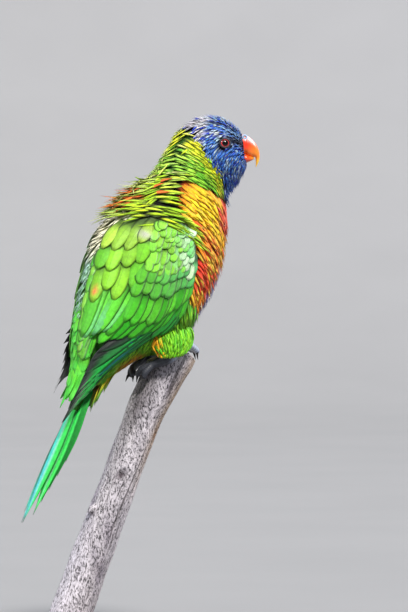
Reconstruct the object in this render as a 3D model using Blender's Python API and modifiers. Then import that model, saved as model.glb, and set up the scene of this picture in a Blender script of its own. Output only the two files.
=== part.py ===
"""Rainbow lorikeet at life size, gripping the cut end of a branch that a small display stand holds up.

The frame: the origin is the centre of the underside of the stand's base, +X is the way the bird faces,
+Y is the bird's left and +Z is up. The bird's middle plane is y = 0, and its head is turned to its right.

Neck, torso and head are one lofted form, parted by thin cuts. A place on it is written (k, a): k counts
the sections from the tail up to the bill, and a is the angle round the body in degrees, 0 on the back,
-90 on the bird's right side, 90 on its left and 180 on the belly. Lengths are in millimetres, and
new_object turns them into metres.
"""

import math
import random

import bmesh
import bpy
import numpy as np

MM = 0.001
GAP = 0.35
BIRD = "rainbow_lorikeet"

# Sections from the tail to the bill: back x and z, belly x and z, half width, share of the head's turn.
SECTIONS = np.array(
    [
        (-60.3, 110.7, -55.9, 108.3, 9.0, 0.0),
        (-51.3, 130.8, -44.3, 127.0, 11.5, 0.0),
        (-42.7, 151.1, -32.1, 145.5, 12.0, 0.0),
        (-34.1, 170.3, -20.9, 163.3, 12.0, 0.0),
        (-29.5, 186.0, -9.5, 177.5, 12.5, 0.0),
        (-29.2, 200.0, 0.5, 184.5, 16.5, 0.0),
        (-27.2, 216.5, 15.6, 193.5, 21.5, 0.0),
        (-23.1, 237.3, 35.3, 203.9, 25.5, 0.0),
        (-17.7, 256.2, 51.0, 220.3, 28.0, 0.0),
        (-9.5, 272.6, 59.8, 235.4, 28.5, 0.0),
        (1.4, 285.8, 65.9, 251.8, 27.5, 0.0),
        (12.2, 295.9, 68.6, 268.1, 24.5, 0.0),
        (21.9, 304.7, 70.5, 283.3, 20.5, 0.05),
        (29.1, 314.1, 71.4, 293.3, 17.5, 0.20),
        (34.7, 323.6, 74.0, 298.4, 16.5, 0.45),
        (40.0, 332.4, 77.3, 302.8, 16.5, 0.75),
        (48.8, 340.3, 80.3, 307.2, 16.0, 0.95),
        (58.9, 343.4, 81.9, 310.0, 15.0, 1.0),
        (67.7, 342.2, 82.8, 312.2, 13.0, 1.0),
        (75.3, 337.8, 83.2, 313.5, 10.0, 1.0),
        (81.6, 332.4, 82.8, 314.4, 7.0, 1.0),
    ]
)
HEAD_TURN = math.radians(22)
NECK_PIVOT_X = 47.6
TAIL_END, TORSO_END, NECK_END, FACE = 4.0, 12.0, 15.0, 20.0
PARTING = 0.04  # share of a section step left open where two lengths of the body meet

# Half widths along a feather, as shares of its widest, from root to tip.
COVERT_OUTLINE = (0.5, 1.0, 0.88, 0.25)
FLIGHT_OUTLINE = (0.6, 0.9, 1.0, 0.85, 0.16)
PRIMARY_OUTLINE = (0.6, 0.85, 1.0, 1.0, 0.97, 0.88, 0.6, 0.14)
VANE_THICKNESS = 0.55

EYE_PLACE = (16.83, -90.0)
EYE_RADIUS = 4.0
EYE_SUNK = 2.6
LID_RADIUS, LID_THICKNESS = 3.25, 0.6

# Sections of the bill in the head's own unturned plane: culmen x and z, lower edge x and z, half width.
UPPER_BILL = np.array(
    [
        (82.1, 332.0, 82.9, 319.4, 6.0),
        (85.2, 330.2, 83.9, 318.6, 5.7),
        (88.3, 327.1, 86.0, 318.0, 4.8),
        (90.5, 323.3, 88.1, 317.8, 3.6),
        (91.4, 319.2, 88.8, 317.0, 2.2),
        (91.0, 315.4, 89.0, 314.8, 1.3),
        (89.3, 311.6, 89.0, 311.5, 0.3),
    ]
)
LOWER_BILL = np.array(
    [
        (83.0, 318.7, 83.3, 314.3, 5.2),
        (84.2, 318.0, 85.1, 315.3, 4.3),
        (86.3, 317.3, 86.8, 316.3, 2.8),
        (87.7, 316.9, 87.8, 316.5, 1.4),
    ]
)
NOSTRIL_RADIUS, NOSTRIL_DEPTH = 0.55, 1.2

# The tail's middle line starts inside the rump and runs down and back.
TAIL_ROOT = np.array((-19.5, 0.0, 181.8))
TAIL_WAY = np.array((-0.430, 0.0, -0.903))
TAIL_UP = np.array((-0.903, 0.0, 0.430))
TAIL_ROLL = math.radians(15)
TAIL_ROLL_START, TAIL_ROLL_END = 12.0, 60.0
TAIL_LENGTHS = (102.0, 95.0, 86.0, 77.0, 67.0, 57.0)
TAIL_FEATHER_HALF_WIDTH = 5.0
TAIL_LEVEL_STEP = 0.85

# The branch's middle line: x, y, z and radius, from the stand up to the cut end under the feet.
PERCH_LINE = np.array(
    [
        (-24.1, 24.6, 28.6, 12.6),
        (-13.6, 20.3, 60.0, 12.4),
        (-3.7, 16.4, 89.2, 12.0),
        (7.0, 12.0, 120.7, 11.4),
        (18.3, 7.4, 152.2, 11.8),
        (29.0, 3.2, 176.2, 13.6),
        (36.0, 0.4, 191.5, 14.4),
    ]
)
PERCH_PEAK_X, PERCH_PEAK_Z = 39.0, 195.6
PERCH_FRONT_SLOPE, PERCH_BACK_SLOPE = 0.5, 0.32
PERCH_SIDES = 18

BASE_SIZE = (170.0, 120.0, 12.0)
BASE_EDGE = 2.5
ROD_RADIUS = 5.0

TOE_RADIUS = 2.2
CLAW_RADIUS = 1.2


def spline(table, k):
    """Rows of the table read at k along a smooth curve through them."""
    k = np.clip(np.asarray(k, float), 0, len(table) - 1)
    i = np.minimum(k.astype(int), len(table) - 2)
    f = (k - i)[..., None]
    p1 = table[i]
    p2 = table[i + 1]
    p0 = np.where((i > 0)[..., None], table[np.maximum(i - 1, 0)], 2 * p1 - p2)
    p3 = np.where(
        (i < len(table) - 2)[..., None],
        table[np.minimum(i + 2, len(table) - 1)],
        2 * p2 - p1,
    )
    slope = (p2 - p0) * f
    curve = (2 * p0 - 5 * p1 + 4 * p2 - p3) * f**2 + (3 * p1 - p0 - 3 * p2 + p3) * f**3
    return 0.5 * (2 * p1 + slope + curve)


def turned(x, y, z, share):
    """A point turned about the upright line through the neck by this share of the head's turn."""
    angle = -HEAD_TURN * share
    x = x - NECK_PIVOT_X
    return np.stack(
        [
            NECK_PIVOT_X + x * np.cos(angle) - y * np.sin(angle),
            x * np.sin(angle) + y * np.cos(angle),
            z + 0 * x,
        ],
        -1,
    )


def body(k, a):
    """Point of the body's surface at section k and angle a."""
    back_x, back_z, belly_x, belly_z, width, share = np.moveaxis(
        spline(SECTIONS, k), -1, 0
    )
    a = np.radians(a)
    up = (1 + np.cos(a)) / 2
    x = belly_x + (back_x - belly_x) * up
    z = belly_z + (back_z - belly_z) * up
    return turned(x, width * np.sin(a), z, share)


def tail_plane(s, y):
    """Point of the tail's middle surface, s down the tail and y to the bird's right.

    The surface is arched like a roof, and rolls to the bird's right on its way down.
    """
    s = np.asarray(s, float)[..., None]
    y = np.asarray(y, float)[..., None]
    share = np.clip((s - TAIL_ROLL_START) / (TAIL_ROLL_END - TAIL_ROLL_START), 0, 1)
    roll = TAIL_ROLL * share**2 * (3 - 2 * share)
    rightward = np.array((0.0, -1.0, 0.0))
    across = rightward * np.cos(roll) - TAIL_UP * np.sin(roll)
    up = TAIL_UP * np.cos(roll) + rightward * np.sin(roll)
    return TAIL_ROOT + s * TAIL_WAY + y * across - 0.02 * y**2 * up


def slopes(surface, k, a):
    """How the surface's point moves with k and with a, and the outward normal there."""
    step = 0.01
    by_k = (surface(k + step, a) - surface(k - step, a)) / (2 * step)
    by_a = (surface(k, a + step) - surface(k, a - step)) / (2 * step)
    normal = np.cross(by_k, by_a)
    normal /= np.linalg.norm(normal, axis=-1, keepdims=True)
    return by_k, by_a, normal


def raised(surface, k, a, lift):
    """Point above the surface by lift."""
    k = np.asarray(k, float)
    a = np.asarray(a, float)
    normal = slopes(surface, k, a)[2]
    return surface(k, a) + normal * np.asarray(lift, float)[..., None]


def new_collection(name):
    collection = bpy.data.collections.new(name)
    bpy.context.scene.collection.children.link(collection)
    return collection


def finished(name, shape, mesh, collection):
    """Object of the closed bmesh, with its faces turned outward."""
    bmesh.ops.recalc_face_normals(shape, faces=shape.faces)
    if shape.calc_volume(signed=True) < 0:
        bmesh.ops.reverse_faces(shape, faces=shape.faces)
    shape.to_mesh(mesh)
    shape.free()
    made = bpy.data.objects.new(name, mesh)
    collection.objects.link(made)
    return made


def new_object(name, points, faces, collection):
    """Mesh object from points in millimetres."""
    mesh = bpy.data.meshes.new(name)
    mesh.from_pydata((np.asarray(points) * MM).tolist(), [], faces)
    shape = bmesh.new()
    shape.from_mesh(mesh)
    return finished(name, shape, mesh, collection)


def loft(name, rings, collection):
    """Closed body through like rings, with a flat cap on each end."""
    rows, sides = rings.shape[:2]
    faces = []
    for row in range(rows - 1):
        for side in range(sides):
            across = (side + 1) % sides
            low = row * sides
            high = low + sides
            faces.append((low + side, low + across, high + across, high + side))
    faces.append(tuple(range(sides)))
    faces.append(tuple(range((rows - 1) * sides, rows * sides)))
    return new_object(name, rings.reshape(-1, 3), faces, collection)


def plate(name, top, bottom, collection):
    """Closed plate between two like grids, split into triangles alike on both faces."""
    rows, columns = top.shape[:2]
    count = rows * columns
    faces = []
    for row in range(rows - 1):
        for column in range(columns - 1):
            a = row * columns + column
            b = a + 1
            c = b + columns
            d = a + columns
            faces += [(a, b, c), (a, c, d)]
            faces += [(c + count, b + count, a + count), (d + count, c + count, a + count)]
    rim = [column for column in range(columns)]
    rim += [row * columns + columns - 1 for row in range(1, rows)]
    rim += [(rows - 1) * columns + column for column in range(columns - 2, -1, -1)]
    rim += [row * columns for row in range(rows - 2, 0, -1)]
    for here, after in zip(rim, rim[1:] + rim[:1]):
        faces.append((here, here + count, after + count, after))
    points = np.concatenate([top.reshape(-1, 3), bottom.reshape(-1, 3)])
    return new_object(name, points, faces, collection)


def tube(name, points, radii, collection, sides=1):
    """Tube with filled ends along the points, as thick at each as its radius, turned into a mesh."""
    curve = bpy.data.curves.new(name, "CURVE")
    curve.dimensions = "3D"
    curve.bevel_depth = MM
    curve.bevel_resolution = sides
    curve.use_fill_caps = True
    line = curve.splines.new("POLY")
    line.points.add(len(points) - 1)
    for point, place, radius in zip(line.points, points, radii):
        point.co = (place[0] * MM, place[1] * MM, place[2] * MM, 1.0)
        point.radius = radius
    drawn = bpy.data.objects.new(name + "_line", curve)
    collection.objects.link(drawn)
    graph = bpy.context.evaluated_depsgraph_get()
    mesh = bpy.data.meshes.new_from_object(drawn.evaluated_get(graph))
    mesh.name = name
    bpy.data.objects.remove(drawn)
    shape = bmesh.new()
    shape.from_mesh(mesh)
    bmesh.ops.remove_doubles(shape, verts=shape.verts, dist=0.00001)
    return finished(name, shape, mesh, collection)


def ball(name, centre, radius, collection, segments=16, rings=10, pole=(0.0, 0.0, 1.0)):
    """Sphere with its pole pointing the way given."""
    shape = bmesh.new()
    bmesh.ops.create_uvsphere(
        shape, u_segments=segments, v_segments=rings, radius=radius * MM
    )
    return placed(name, shape, centre, pole, collection)


def ring(name, centre, axis, radius, thickness, collection, around=20, section=6):
    """Torus about the axis."""
    turns = np.linspace(0, 2 * math.pi, around, endpoint=False)
    round_section = np.linspace(0, 2 * math.pi, section, endpoint=False)
    turn, angle = np.meshgrid(turns, round_section, indexing="ij")
    out = radius + thickness * np.cos(angle)
    points = np.stack(
        [out * np.cos(turn), out * np.sin(turn), thickness * np.sin(angle)], -1
    )
    faces = []
    for i in range(around):
        for j in range(section):
            i2 = (i + 1) % around
            j2 = (j + 1) % section
            faces.append(
                (i * section + j, i2 * section + j, i2 * section + j2, i * section + j2)
            )
    sideways, upward, axis = frame_about(axis)
    points = points.reshape(-1, 3) @ np.array([sideways, upward, axis]) + centre
    return new_object(name, points, faces, collection)


def rod(name, centre, axis, radius, depth, collection, segments=12, tip_radius=None):
    """Cylinder or cone centred on a point, along the axis."""
    shape = bmesh.new()
    bmesh.ops.create_cone(
        shape,
        cap_ends=True,
        segments=segments,
        radius1=radius * MM,
        radius2=(radius if tip_radius is None else tip_radius) * MM,
        depth=depth * MM,
    )
    return placed(name, shape, centre, axis, collection)


def frame_about(axis):
    """Two unit vectors at right angles to the axis, and the axis as a unit vector."""
    axis = np.asarray(axis, float) / np.linalg.norm(axis)
    helper = np.array((0.0, 0.0, 1.0)) if abs(axis[2]) < 0.9 else np.array((1.0, 0.0, 0.0))
    sideways = np.cross(helper, axis)
    sideways /= np.linalg.norm(sideways)
    return sideways, np.cross(axis, sideways), axis


def placed(name, shape, centre, axis, collection):
    """Object from a bmesh that stands along z at the origin, turned to the axis and moved to the centre."""
    sideways, upward, axis = frame_about(axis)
    turn = np.array([sideways, upward, axis])
    for vertex in shape.verts:
        vertex.co = np.array(vertex.co) @ turn + np.asarray(centre) * MM
    return finished(name, shape, bpy.data.meshes.new(name), collection)


def keep_largest(mesh):
    """Leaves only the mesh's largest closed surface."""
    shape = bmesh.new()
    shape.from_mesh(mesh)
    left = set(shape.verts)
    pieces = []
    while left:
        reached = {left.pop()}
        edge = list(reached)
        while edge:
            vertex = edge.pop()
            for link in vertex.link_edges:
                other = link.other_vert(vertex)
                if other in left:
                    left.remove(other)
                    reached.add(other)
                    edge.append(other)
        pieces.append(reached)

    def size(piece):
        places = np.array([vertex.co for vertex in piece])
        return np.prod(places.max(0) - places.min(0) + MM)

    biggest = max(pieces, key=size)
    loose = [vertex for vertex in shape.verts if vertex not in biggest]
    bmesh.ops.delete(shape, geom=loose, context="VERTS")
    shape.to_mesh(mesh)
    shape.free()


def combined(target, pieces, operation):
    """Joins the pieces to the target or cuts them from it, all at once, and removes them."""
    if not pieces:
        return
    group = new_collection(target.name + "_" + operation.lower())
    for piece in pieces:
        for holder in list(piece.users_collection):
            holder.objects.unlink(piece)
        group.objects.link(piece)
    modifier = target.modifiers.new("combine", "BOOLEAN")
    modifier.operation = operation
    modifier.operand_type = "COLLECTION"
    modifier.collection = group
    modifier.solver = "MANIFOLD"
    graph = bpy.context.evaluated_depsgraph_get()
    mesh = bpy.data.meshes.new_from_object(target.evaluated_get(graph))
    target.modifiers.remove(modifier)
    target.data = mesh
    keep_largest(mesh)
    for piece in pieces:
        bpy.data.objects.remove(piece)
    bpy.data.collections.remove(group)


def along(line, count):
    """Places spread evenly along a line of (k, a) points."""
    line = np.asarray(line, float)
    steps = np.linspace(0, 1, count)
    knots = np.linspace(0, 1, len(line))
    return np.stack([np.interp(steps, knots, line[:, i]) for i in (0, 1)], -1)


def vanes(
    name,
    roots,
    tips,
    half_width,
    lifts,
    collection,
    surface=body,
    bow=0.0,
    tilt=0.0,
    outline=COVERT_OUTLINE,
    columns=2,
    spread=0.0,
    mirror=False,
):
    """Feathers from root to tip places on a surface.

    lifts holds the height of the middle above the surface at the root, half way and at the tip.
    bow moves the half-way place in a, and tilt raises the edge towards the belly by that share of the
    half width. spread is how much each feather's length, width and height vary.
    """
    draw = random.Random(name)
    shares = np.linspace(0, 1, len(outline))
    sides = np.linspace(-1, 1, columns)
    made = []
    for index, (root, tip) in enumerate(zip(roots, tips)):
        longer = 1 + spread * draw.uniform(-0.5, 0.5)
        wider = 1 + spread * draw.uniform(-0.4, 0.4)
        higher = spread * draw.uniform(-1.0, 1.0)
        root = np.asarray(root, float)
        tip = root + (np.asarray(tip, float) - root) * longer
        middle = (root + tip) / 2 + np.array((0.0, bow))
        t = shares[:, None]
        path = (1 - t) ** 2 * root + 2 * t * (1 - t) * middle + t**2 * tip
        way = 2 * (1 - t) * (middle - root) + 2 * t * (tip - middle)
        by_k, by_a, normal = slopes(surface, path[:, 0], path[:, 1])
        forward = by_k * way[:, :1] + by_a * way[:, 1:]
        across = np.cross(normal, forward)
        across /= np.linalg.norm(across, axis=-1, keepdims=True)
        kk = (by_k * by_k).sum(-1)
        ka = (by_k * by_a).sum(-1)
        aa = (by_a * by_a).sum(-1)
        k_side = (by_k * across).sum(-1)
        a_side = (by_a * across).sum(-1)
        area = kk * aa - ka**2
        step_k = (aa * k_side - ka * a_side) / area
        step_a = (kk * a_side - ka * k_side) / area
        half = half_width * wider * np.asarray(outline)
        lift = np.interp(shares, (0, 0.5, 1), lifts) + higher * shares
        reach = half[:, None] * sides
        k = path[:, :1] + step_k[:, None] * reach
        a = path[:, 1:] + step_a[:, None] * reach
        height = lift[:, None] + tilt * reach
        top = raised(surface, k, a, height + VANE_THICKNESS / 2)
        bottom = raised(surface, k, a, height - VANE_THICKNESS / 2)
        if mirror:
            top = top * (1, -1, 1)
            bottom = bottom * (1, -1, 1)
        made.append(plate(f"{name}_{index}", top, bottom, collection))
    return made


def body_rings(start, end, rows, sides=24, lift=0.0):
    """Rings of the body between two sections."""
    k = np.linspace(start, end, rows)[:, None] + np.zeros(sides)
    a = np.linspace(-180, 180, sides, endpoint=False)[None, :] + np.zeros((rows, 1))
    return body(k, a) if lift == 0 else raised(body, k, a, lift)


# Rows of loose feathers: root line, tip line, count, half width, lifts. The mantle and back come first,
# then the breast, then the vent.
TORSO_ROWS = [
    (
        [(11.85, -80), (11.85, 0), (11.85, 80)],
        [(11.05, -78), (10.7, 0), (11.05, 78)],
        5, 6.0, (-0.4, 1.2, 2.6),
    ),
    (
        [(11.35, -62), (11.3, 0), (11.35, 62)],
        [(10.8, -62), (9.9, 0), (10.8, 62)],
        4, 5.8, (-0.4, 1.8, 4.0),
    ),
    (
        [(10.85, -44), (10.7, 0), (10.85, 44)],
        [(10.1, -42), (9.4, 0), (10.1, 42)],
        4, 5.0, (-0.4, 1.8, 4.2),
    ),
    (
        [(10.15, -20), (10.1, 20)],
        [(9.1, -17), (9.1, 17)],
        3, 4.4, (-0.4, 1.6, 3.6),
    ),
    (
        [(9.3, -5), (9.3, 5)],
        [(8.2, -5), (8.2, 5)],
        2, 2.6, (-0.4, 1.4, 3.0),
    ),
    (
        [(8.5, 0), (7.7, 0), (6.9, 0)],
        [(7.5, 0), (6.7, 0), (6.0, 0)],
        3, 3.0, (-0.4, 1.2, 2.6),
    ),
    (
        [(5.4, -14), (5.4, 14)],
        [(3.7, -12), (3.5, 12)],
        3, 3.4, (-0.4, 1.6, 2.4),
    ),
    (
        [(11.7, -116), (11.7, -180), (11.7, -244)],
        [(10.9, -118), (10.9, -180), (10.9, -242)],
        5, 5.2, (-0.4, 0.9, 1.8),
    ),
    (
        [(10.8, -122), (10.8, -180), (10.8, -238)],
        [(9.9, -124), (9.9, -180), (9.9, -236)],
        5, 5.4, (-0.4, 1.0, 2.2),
    ),
    (
        [(9.9, -132), (9.9, -180), (9.9, -228)],
        [(9.0, -134), (9.0, -180), (9.0, -226)],
        4, 5.2, (-0.4, 1.2, 3.0),
    ),
    (
        [(9.1, -144), (9.1, -216)],
        [(8.4, -148), (8.4, -212)],
        3, 4.8, (-0.4, 1.2, 2.4),
    ),
    (
        [(5.9, -158), (5.9, -202)],
        [(4.9, -160), (4.9, -200)],
        2, 5.0, (-0.6, 2.4, 6.0),
    ),
]


def make_torso(collection):
    torso = loft("torso", body_rings(TAIL_END, TORSO_END, 14, 22), collection)
    feathers = []
    for index, (root_line, tip_line, count, half_width, lifts) in enumerate(TORSO_ROWS):
        feathers += vanes(
            f"hackles_{index}",
            along(root_line, count),
            along(tip_line, count),
            half_width,
            lifts,
            collection,
            spread=0.25,
        )
    combined(torso, feathers, "UNION")
    return torso


# Rows of loose feathers round the nape: root and tip section, how far round they reach, count.
NECK_ROWS = [(14.5, 13.4, 76, 6), (13.3, 12.2, 84, 6)]


def make_neck(collection):
    neck = loft(
        "neck", body_rings(TORSO_END + PARTING, NECK_END - 2 * PARTING, 6), collection
    )
    feathers = []
    for index, (start, end, edge, count) in enumerate(NECK_ROWS):
        feathers += vanes(
            f"collar_{index}",
            along([(start, -edge), (start, 0), (start, edge)], count),
            along([(end + 0.15, -edge), (end, 0), (end + 0.15, edge)], count),
            4.2,
            (-0.4, 1.2, 2.6),
            collection,
            spread=0.25,
        )
    combined(neck, feathers, "UNION")
    return neck


def eye_centre(side):
    """Centre of an eyeball and the way the eye looks."""
    k = np.array(EYE_PLACE[0])
    a = np.array(EYE_PLACE[1] * side)
    normal = slopes(body, k, a)[2]
    return body(k, a) - normal * EYE_SUNK, normal


def make_head(collection):
    head = loft("head", body_rings(NECK_END, FACE, 12), collection)
    lids = []
    sockets = []
    for side in (1, -1):
        centre, look = eye_centre(side)
        lids.append(
            ring("lid", centre + look * (EYE_SUNK + 0.15), look, LID_RADIUS, LID_THICKNESS, collection)
        )
        sockets.append(
            ball("socket", centre, EYE_RADIUS + GAP, collection, 16, 10, look)
        )
    combined(head, lids, "UNION")
    combined(head, sockets, "DIFFERENCE")
    return head


def make_eyes(collection):
    eyes = []
    for name, side in (("eye_right", 1), ("eye_left", -1)):
        centre, look = eye_centre(side)
        eyes.append(ball(name, centre, EYE_RADIUS, collection, 12, 8, look))
    return eyes


def bill_rings(table, rows, sides, squareness):
    """Rings of one half of the bill, turned with the head."""
    k = np.linspace(0, len(table) - 1, rows)
    upper_x, upper_z, lower_x, lower_z, width = np.moveaxis(spline(table, k), -1, 0)
    a = np.linspace(0, 2 * math.pi, sides, endpoint=False)
    up = (1 + np.cos(a)) / 2
    x = lower_x[:, None] + (upper_x - lower_x)[:, None] * up
    z = lower_z[:, None] + (upper_z - lower_z)[:, None] * up
    y = width[:, None] * np.sign(np.sin(a)) * np.abs(np.sin(a)) ** squareness
    return turned(x, y, z, 1.0)


def make_bill(collection):
    upper = loft("bill_upper", bill_rings(UPPER_BILL, 10, 14, 0.8), collection)
    lower = loft("bill_lower", bill_rings(LOWER_BILL, 5, 12, 0.8), collection)
    nostrils = []
    for side in (1, -1):
        place = turned(np.array(83.6), np.array(-2.6 * side), np.array(330.3), 1.0)
        look = turned(np.array(NECK_PIVOT_X + 0.2), np.array(-0.75 * side), np.array(0.65), 1.0)
        look = look - (NECK_PIVOT_X, 0, 0)
        nostrils.append(
            rod("nostril", place, look, NOSTRIL_RADIUS, 2 * NOSTRIL_DEPTH, collection, 8)
        )
    combined(upper, nostrils, "DIFFERENCE")
    return upper, lower


# Feather rows of the right wing: root line, tip line, count, half width, lifts, tilt, bow, outline, columns.
WING_ROWS = {
    "primaries": (
        [(7.8, -120), (7.8, -108), (7.4, -96)],
        [(2.05, -50), (2.9, -52), (3.9, -57), (5.0, -64)],
        5, 5.6, (1.9, 2.5, 2.4), 0.26, -16.0, PRIMARY_OUTLINE, 2,
    ),
    "secondaries": (
        [(8.3, -110), (8.1, -96), (7.9, -80)],
        [(7.35, -123), (6.6, -108), (6.0, -90), (5.55, -62)],
        5, 5.4, (1.6, 2.2, 2.6), 0.18, -2.0, FLIGHT_OUTLINE, 2,
    ),
    "tertials": (
        [(8.45, -62), (8.15, -36)],
        [(6.2, -50), (5.3, -30)],
        3, 5.4, (1.6, 2.8, 3.0), 0.12, 0.0, FLIGHT_OUTLINE, 2,
    ),
    "greater_coverts": (
        [(8.95, -106), (8.75, -94), (8.5, -82), (8.15, -68)],
        [(7.9, -117), (7.25, -110), (6.8, -98), (6.5, -76)],
        4, 6.0, (1.7, 3.5, 4.0), 0.2, -1.0, COVERT_OUTLINE, 2,
    ),
    "median_coverts": (
        [(9.5, -101), (9.25, -90), (8.9, -78), (8.6, -66)],
        [(8.75, -106), (8.2, -96), (7.8, -84), (7.6, -68)],
        4, 5.6, (1.7, 3.8, 4.6), 0.16, 0.0, COVERT_OUTLINE, 2,
    ),
    "lesser_coverts": (
        [(10.0, -93), (9.8, -80), (9.5, -66)],
        [(9.3, -99), (8.85, -86), (8.5, -70)],
        3, 5.8, (1.7, 3.8, 4.8), 0.14, 0.0, COVERT_OUTLINE, 2,
    ),
    "scapulars": (
        [(9.3, -54), (8.75, -24)],
        [(8.0, -52), (7.3, -24)],
        3, 5.8, (1.6, 2.8, 3.4), 0.08, 0.0, COVERT_OUTLINE, 2,
    ),
    "back_edge": (
        [(7.9, -28), (7.1, -30)],
        [(6.7, -22), (5.5, -24)],
        2, 4.4, (1.6, 2.2, 2.4), 0.0, 0.0, COVERT_OUTLINE, 2,
    ),
    "primary_coverts": (
        [(8.1, -115), (8.0, -112)],
        [(6.6, -120), (6.4, -116)],
        1, 4.2, (1.6, 2.8, 3.0), 0.16, -3.0, COVERT_OUTLINE, 2,
    ),
}
# The wing's own flesh, from the shoulder to the wrist: its front edge and its back edge.
WING_FRONT = [(10.35, -86), (10.0, -97), (9.3, -108), (8.5, -117), (7.7, -122), (7.2, -121)]
WING_BACK = [(10.4, -82), (9.9, -64), (9.2, -42), (8.55, -22), (7.7, -24), (7.0, -40)]
# How far its underside lies off the body, and its thickness at the rim and in the middle.
WING_LIFT, WING_EDGE, WING_FLESH = 1.3, 0.6, 1.6
LEFT_TIP_SHORTER = 0.75  # how much earlier, in section steps, the left wing's primaries end


def make_wing(name, side, collection):
    """One wing: side is 1 for the bird's right and -1 for its left."""
    rows, columns = 7, 5
    front = along(WING_FRONT, rows)
    back = along(WING_BACK, rows)
    share = np.linspace(0, 1, columns)[None, :, None]
    place = front[:, None] * (1 - share) + back[:, None] * share
    crown = np.sin(np.linspace(0.12, 0.88, columns) * math.pi)[None, :]
    ends = np.sin(np.linspace(0.15, 0.85, rows) * math.pi)[:, None]
    thick = WING_EDGE + (WING_FLESH - WING_EDGE) * np.sqrt(crown * ends)
    flip = np.array((1, side, 1))
    top = raised(body, place[..., 0], place[..., 1], WING_LIFT + thick) * flip
    bottom = raised(body, place[..., 0], place[..., 1], WING_LIFT + 0 * thick) * flip
    wing = plate(name, top, bottom, collection)
    feathers = []
    for row, (roots, tips, count, half, lifts, tilt, bow, outline, wide) in WING_ROWS.items():
        if row == "primaries" and side < 0:
            tips = [(k + LEFT_TIP_SHORTER, a + 12) for k, a in tips]
            lifts = (lifts[0], lifts[1], lifts[2] + 2.0)
        feathers += vanes(
            f"{name}_{row}",
            along(roots, count),
            along(tips, count),
            half,
            lifts,
            collection,
            bow=bow,
            tilt=tilt,
            outline=outline,
            columns=wide,
            spread=0.08,
            mirror=side < 0,
        )
    combined(wing, feathers, "UNION")
    return wing


def make_tail(collection):
    start, end = TAIL_END - PARTING, 2.5
    rings = body_rings(end, start, 5, 14)
    centre = rings.mean(axis=1, keepdims=True)
    shrink = np.linspace(0.4, 0.9, 5)[:, None, None]
    tail = loft("tail", centre + (rings - centre) * shrink, collection)
    feathers = []
    for pair, length in enumerate(TAIL_LENGTHS):
        for side in (1, -1):
            level = 1.6 - TAIL_LEVEL_STEP * pair + (TAIL_LEVEL_STEP if pair == 0 and side > 0 else 0)
            half = TAIL_FEATHER_HALF_WIDTH * (1 - 0.04 * pair)
            middle = 1.2 if pair == 0 else half + 0.25 + 1.2 * (pair - 1)
            feathers += vanes(
                f"tail_feather_{pair}_{'right' if side > 0 else 'left'}",
                [(6.0, side * min(middle, 4.0))],
                [(length, side * middle)],
                half,
                (level, level, level),
                collection,
                surface=tail_plane,
                outline=(0.5, 0.9, 1.0, 0.75, 0.12),
                columns=2,
            )
    feathers += vanes(
        "tail_coverts_under",
        [(3.75, -150), (3.75, -180), (3.75, -210)],
        [(3.2, -160), (2.95, -180), (3.2, -200)],
        3.6,
        (-2.2, 1.5, 6.0),
        collection,
    )
    combined(tail, feathers, "UNION")
    return tail


def perch_rings(extra=0.0):
    """Rings of the branch, grown by extra all round, with the slanting cut at its top."""
    rows = 22
    along_line = spline(PERCH_LINE, np.linspace(0, len(PERCH_LINE) - 1, rows))
    angle = np.linspace(0, 2 * math.pi, PERCH_SIDES, endpoint=False)
    bumps = 1 + 0.035 * np.sin(3 * angle + 0.7) + 0.02 * np.sin(5 * angle + 2.0)
    rings = np.empty((rows, PERCH_SIDES, 3))
    for row, (x, y, z, radius) in enumerate(along_line):
        around = (radius + extra) * bumps * (1 + 0.015 * math.sin(row * 1.7))
        rings[row, :, 0] = x + 1.1 * around * np.cos(angle)
        rings[row, :, 1] = y + around * np.sin(angle)
        rings[row, :, 2] = z
    top = rings[-1].copy()
    slope = np.where(top[:, 0] > PERCH_PEAK_X, PERCH_FRONT_SLOPE, PERCH_BACK_SLOPE)
    cut = PERCH_PEAK_Z + extra - slope * np.abs(top[:, 0] - PERCH_PEAK_X)
    upward = (along_line[-1, :3] - along_line[-3, :3]) / (along_line[-1, 2] - along_line[-3, 2])
    for row in (rows - 1, rows - 2):
        share = 1.0 if row == rows - 1 else 0.0
        rise = (cut - along_line[row, 2]) * share - (1 - share) * 3.0
        rings[row] += rise[:, None] * upward
    return rings


def make_perch(name, collection, extra=0.0):
    rings = perch_rings(extra)
    rows, sides = rings.shape[:2]
    ridge = rings[-1].mean(axis=0)
    ridge[2] = PERCH_PEAK_Z + extra - 0.6
    points = np.concatenate([rings.reshape(-1, 3), ridge[None]])
    faces = []
    for row in range(rows - 1):
        for side in range(sides):
            after = (side + 1) % sides
            low = row * sides
            faces.append((low + side, low + after, low + sides + after, low + sides + side))
    faces.append(tuple(range(sides)))
    last = (rows - 1) * sides
    for side in range(sides):
        faces.append((last + side, last + (side + 1) % sides, rows * sides))
    return new_object(name, points, faces, collection)


def make_branch(collection):
    perch = make_perch("perch", collection)
    stub_place = np.array((-14.5, 15.0, 95.0))
    stub = rod("stub", stub_place, (-0.9, -0.3, 0.35), 3.4, 6.0, collection, 10, 2.6)
    combined(perch, [stub], "UNION")
    return perch


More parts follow.
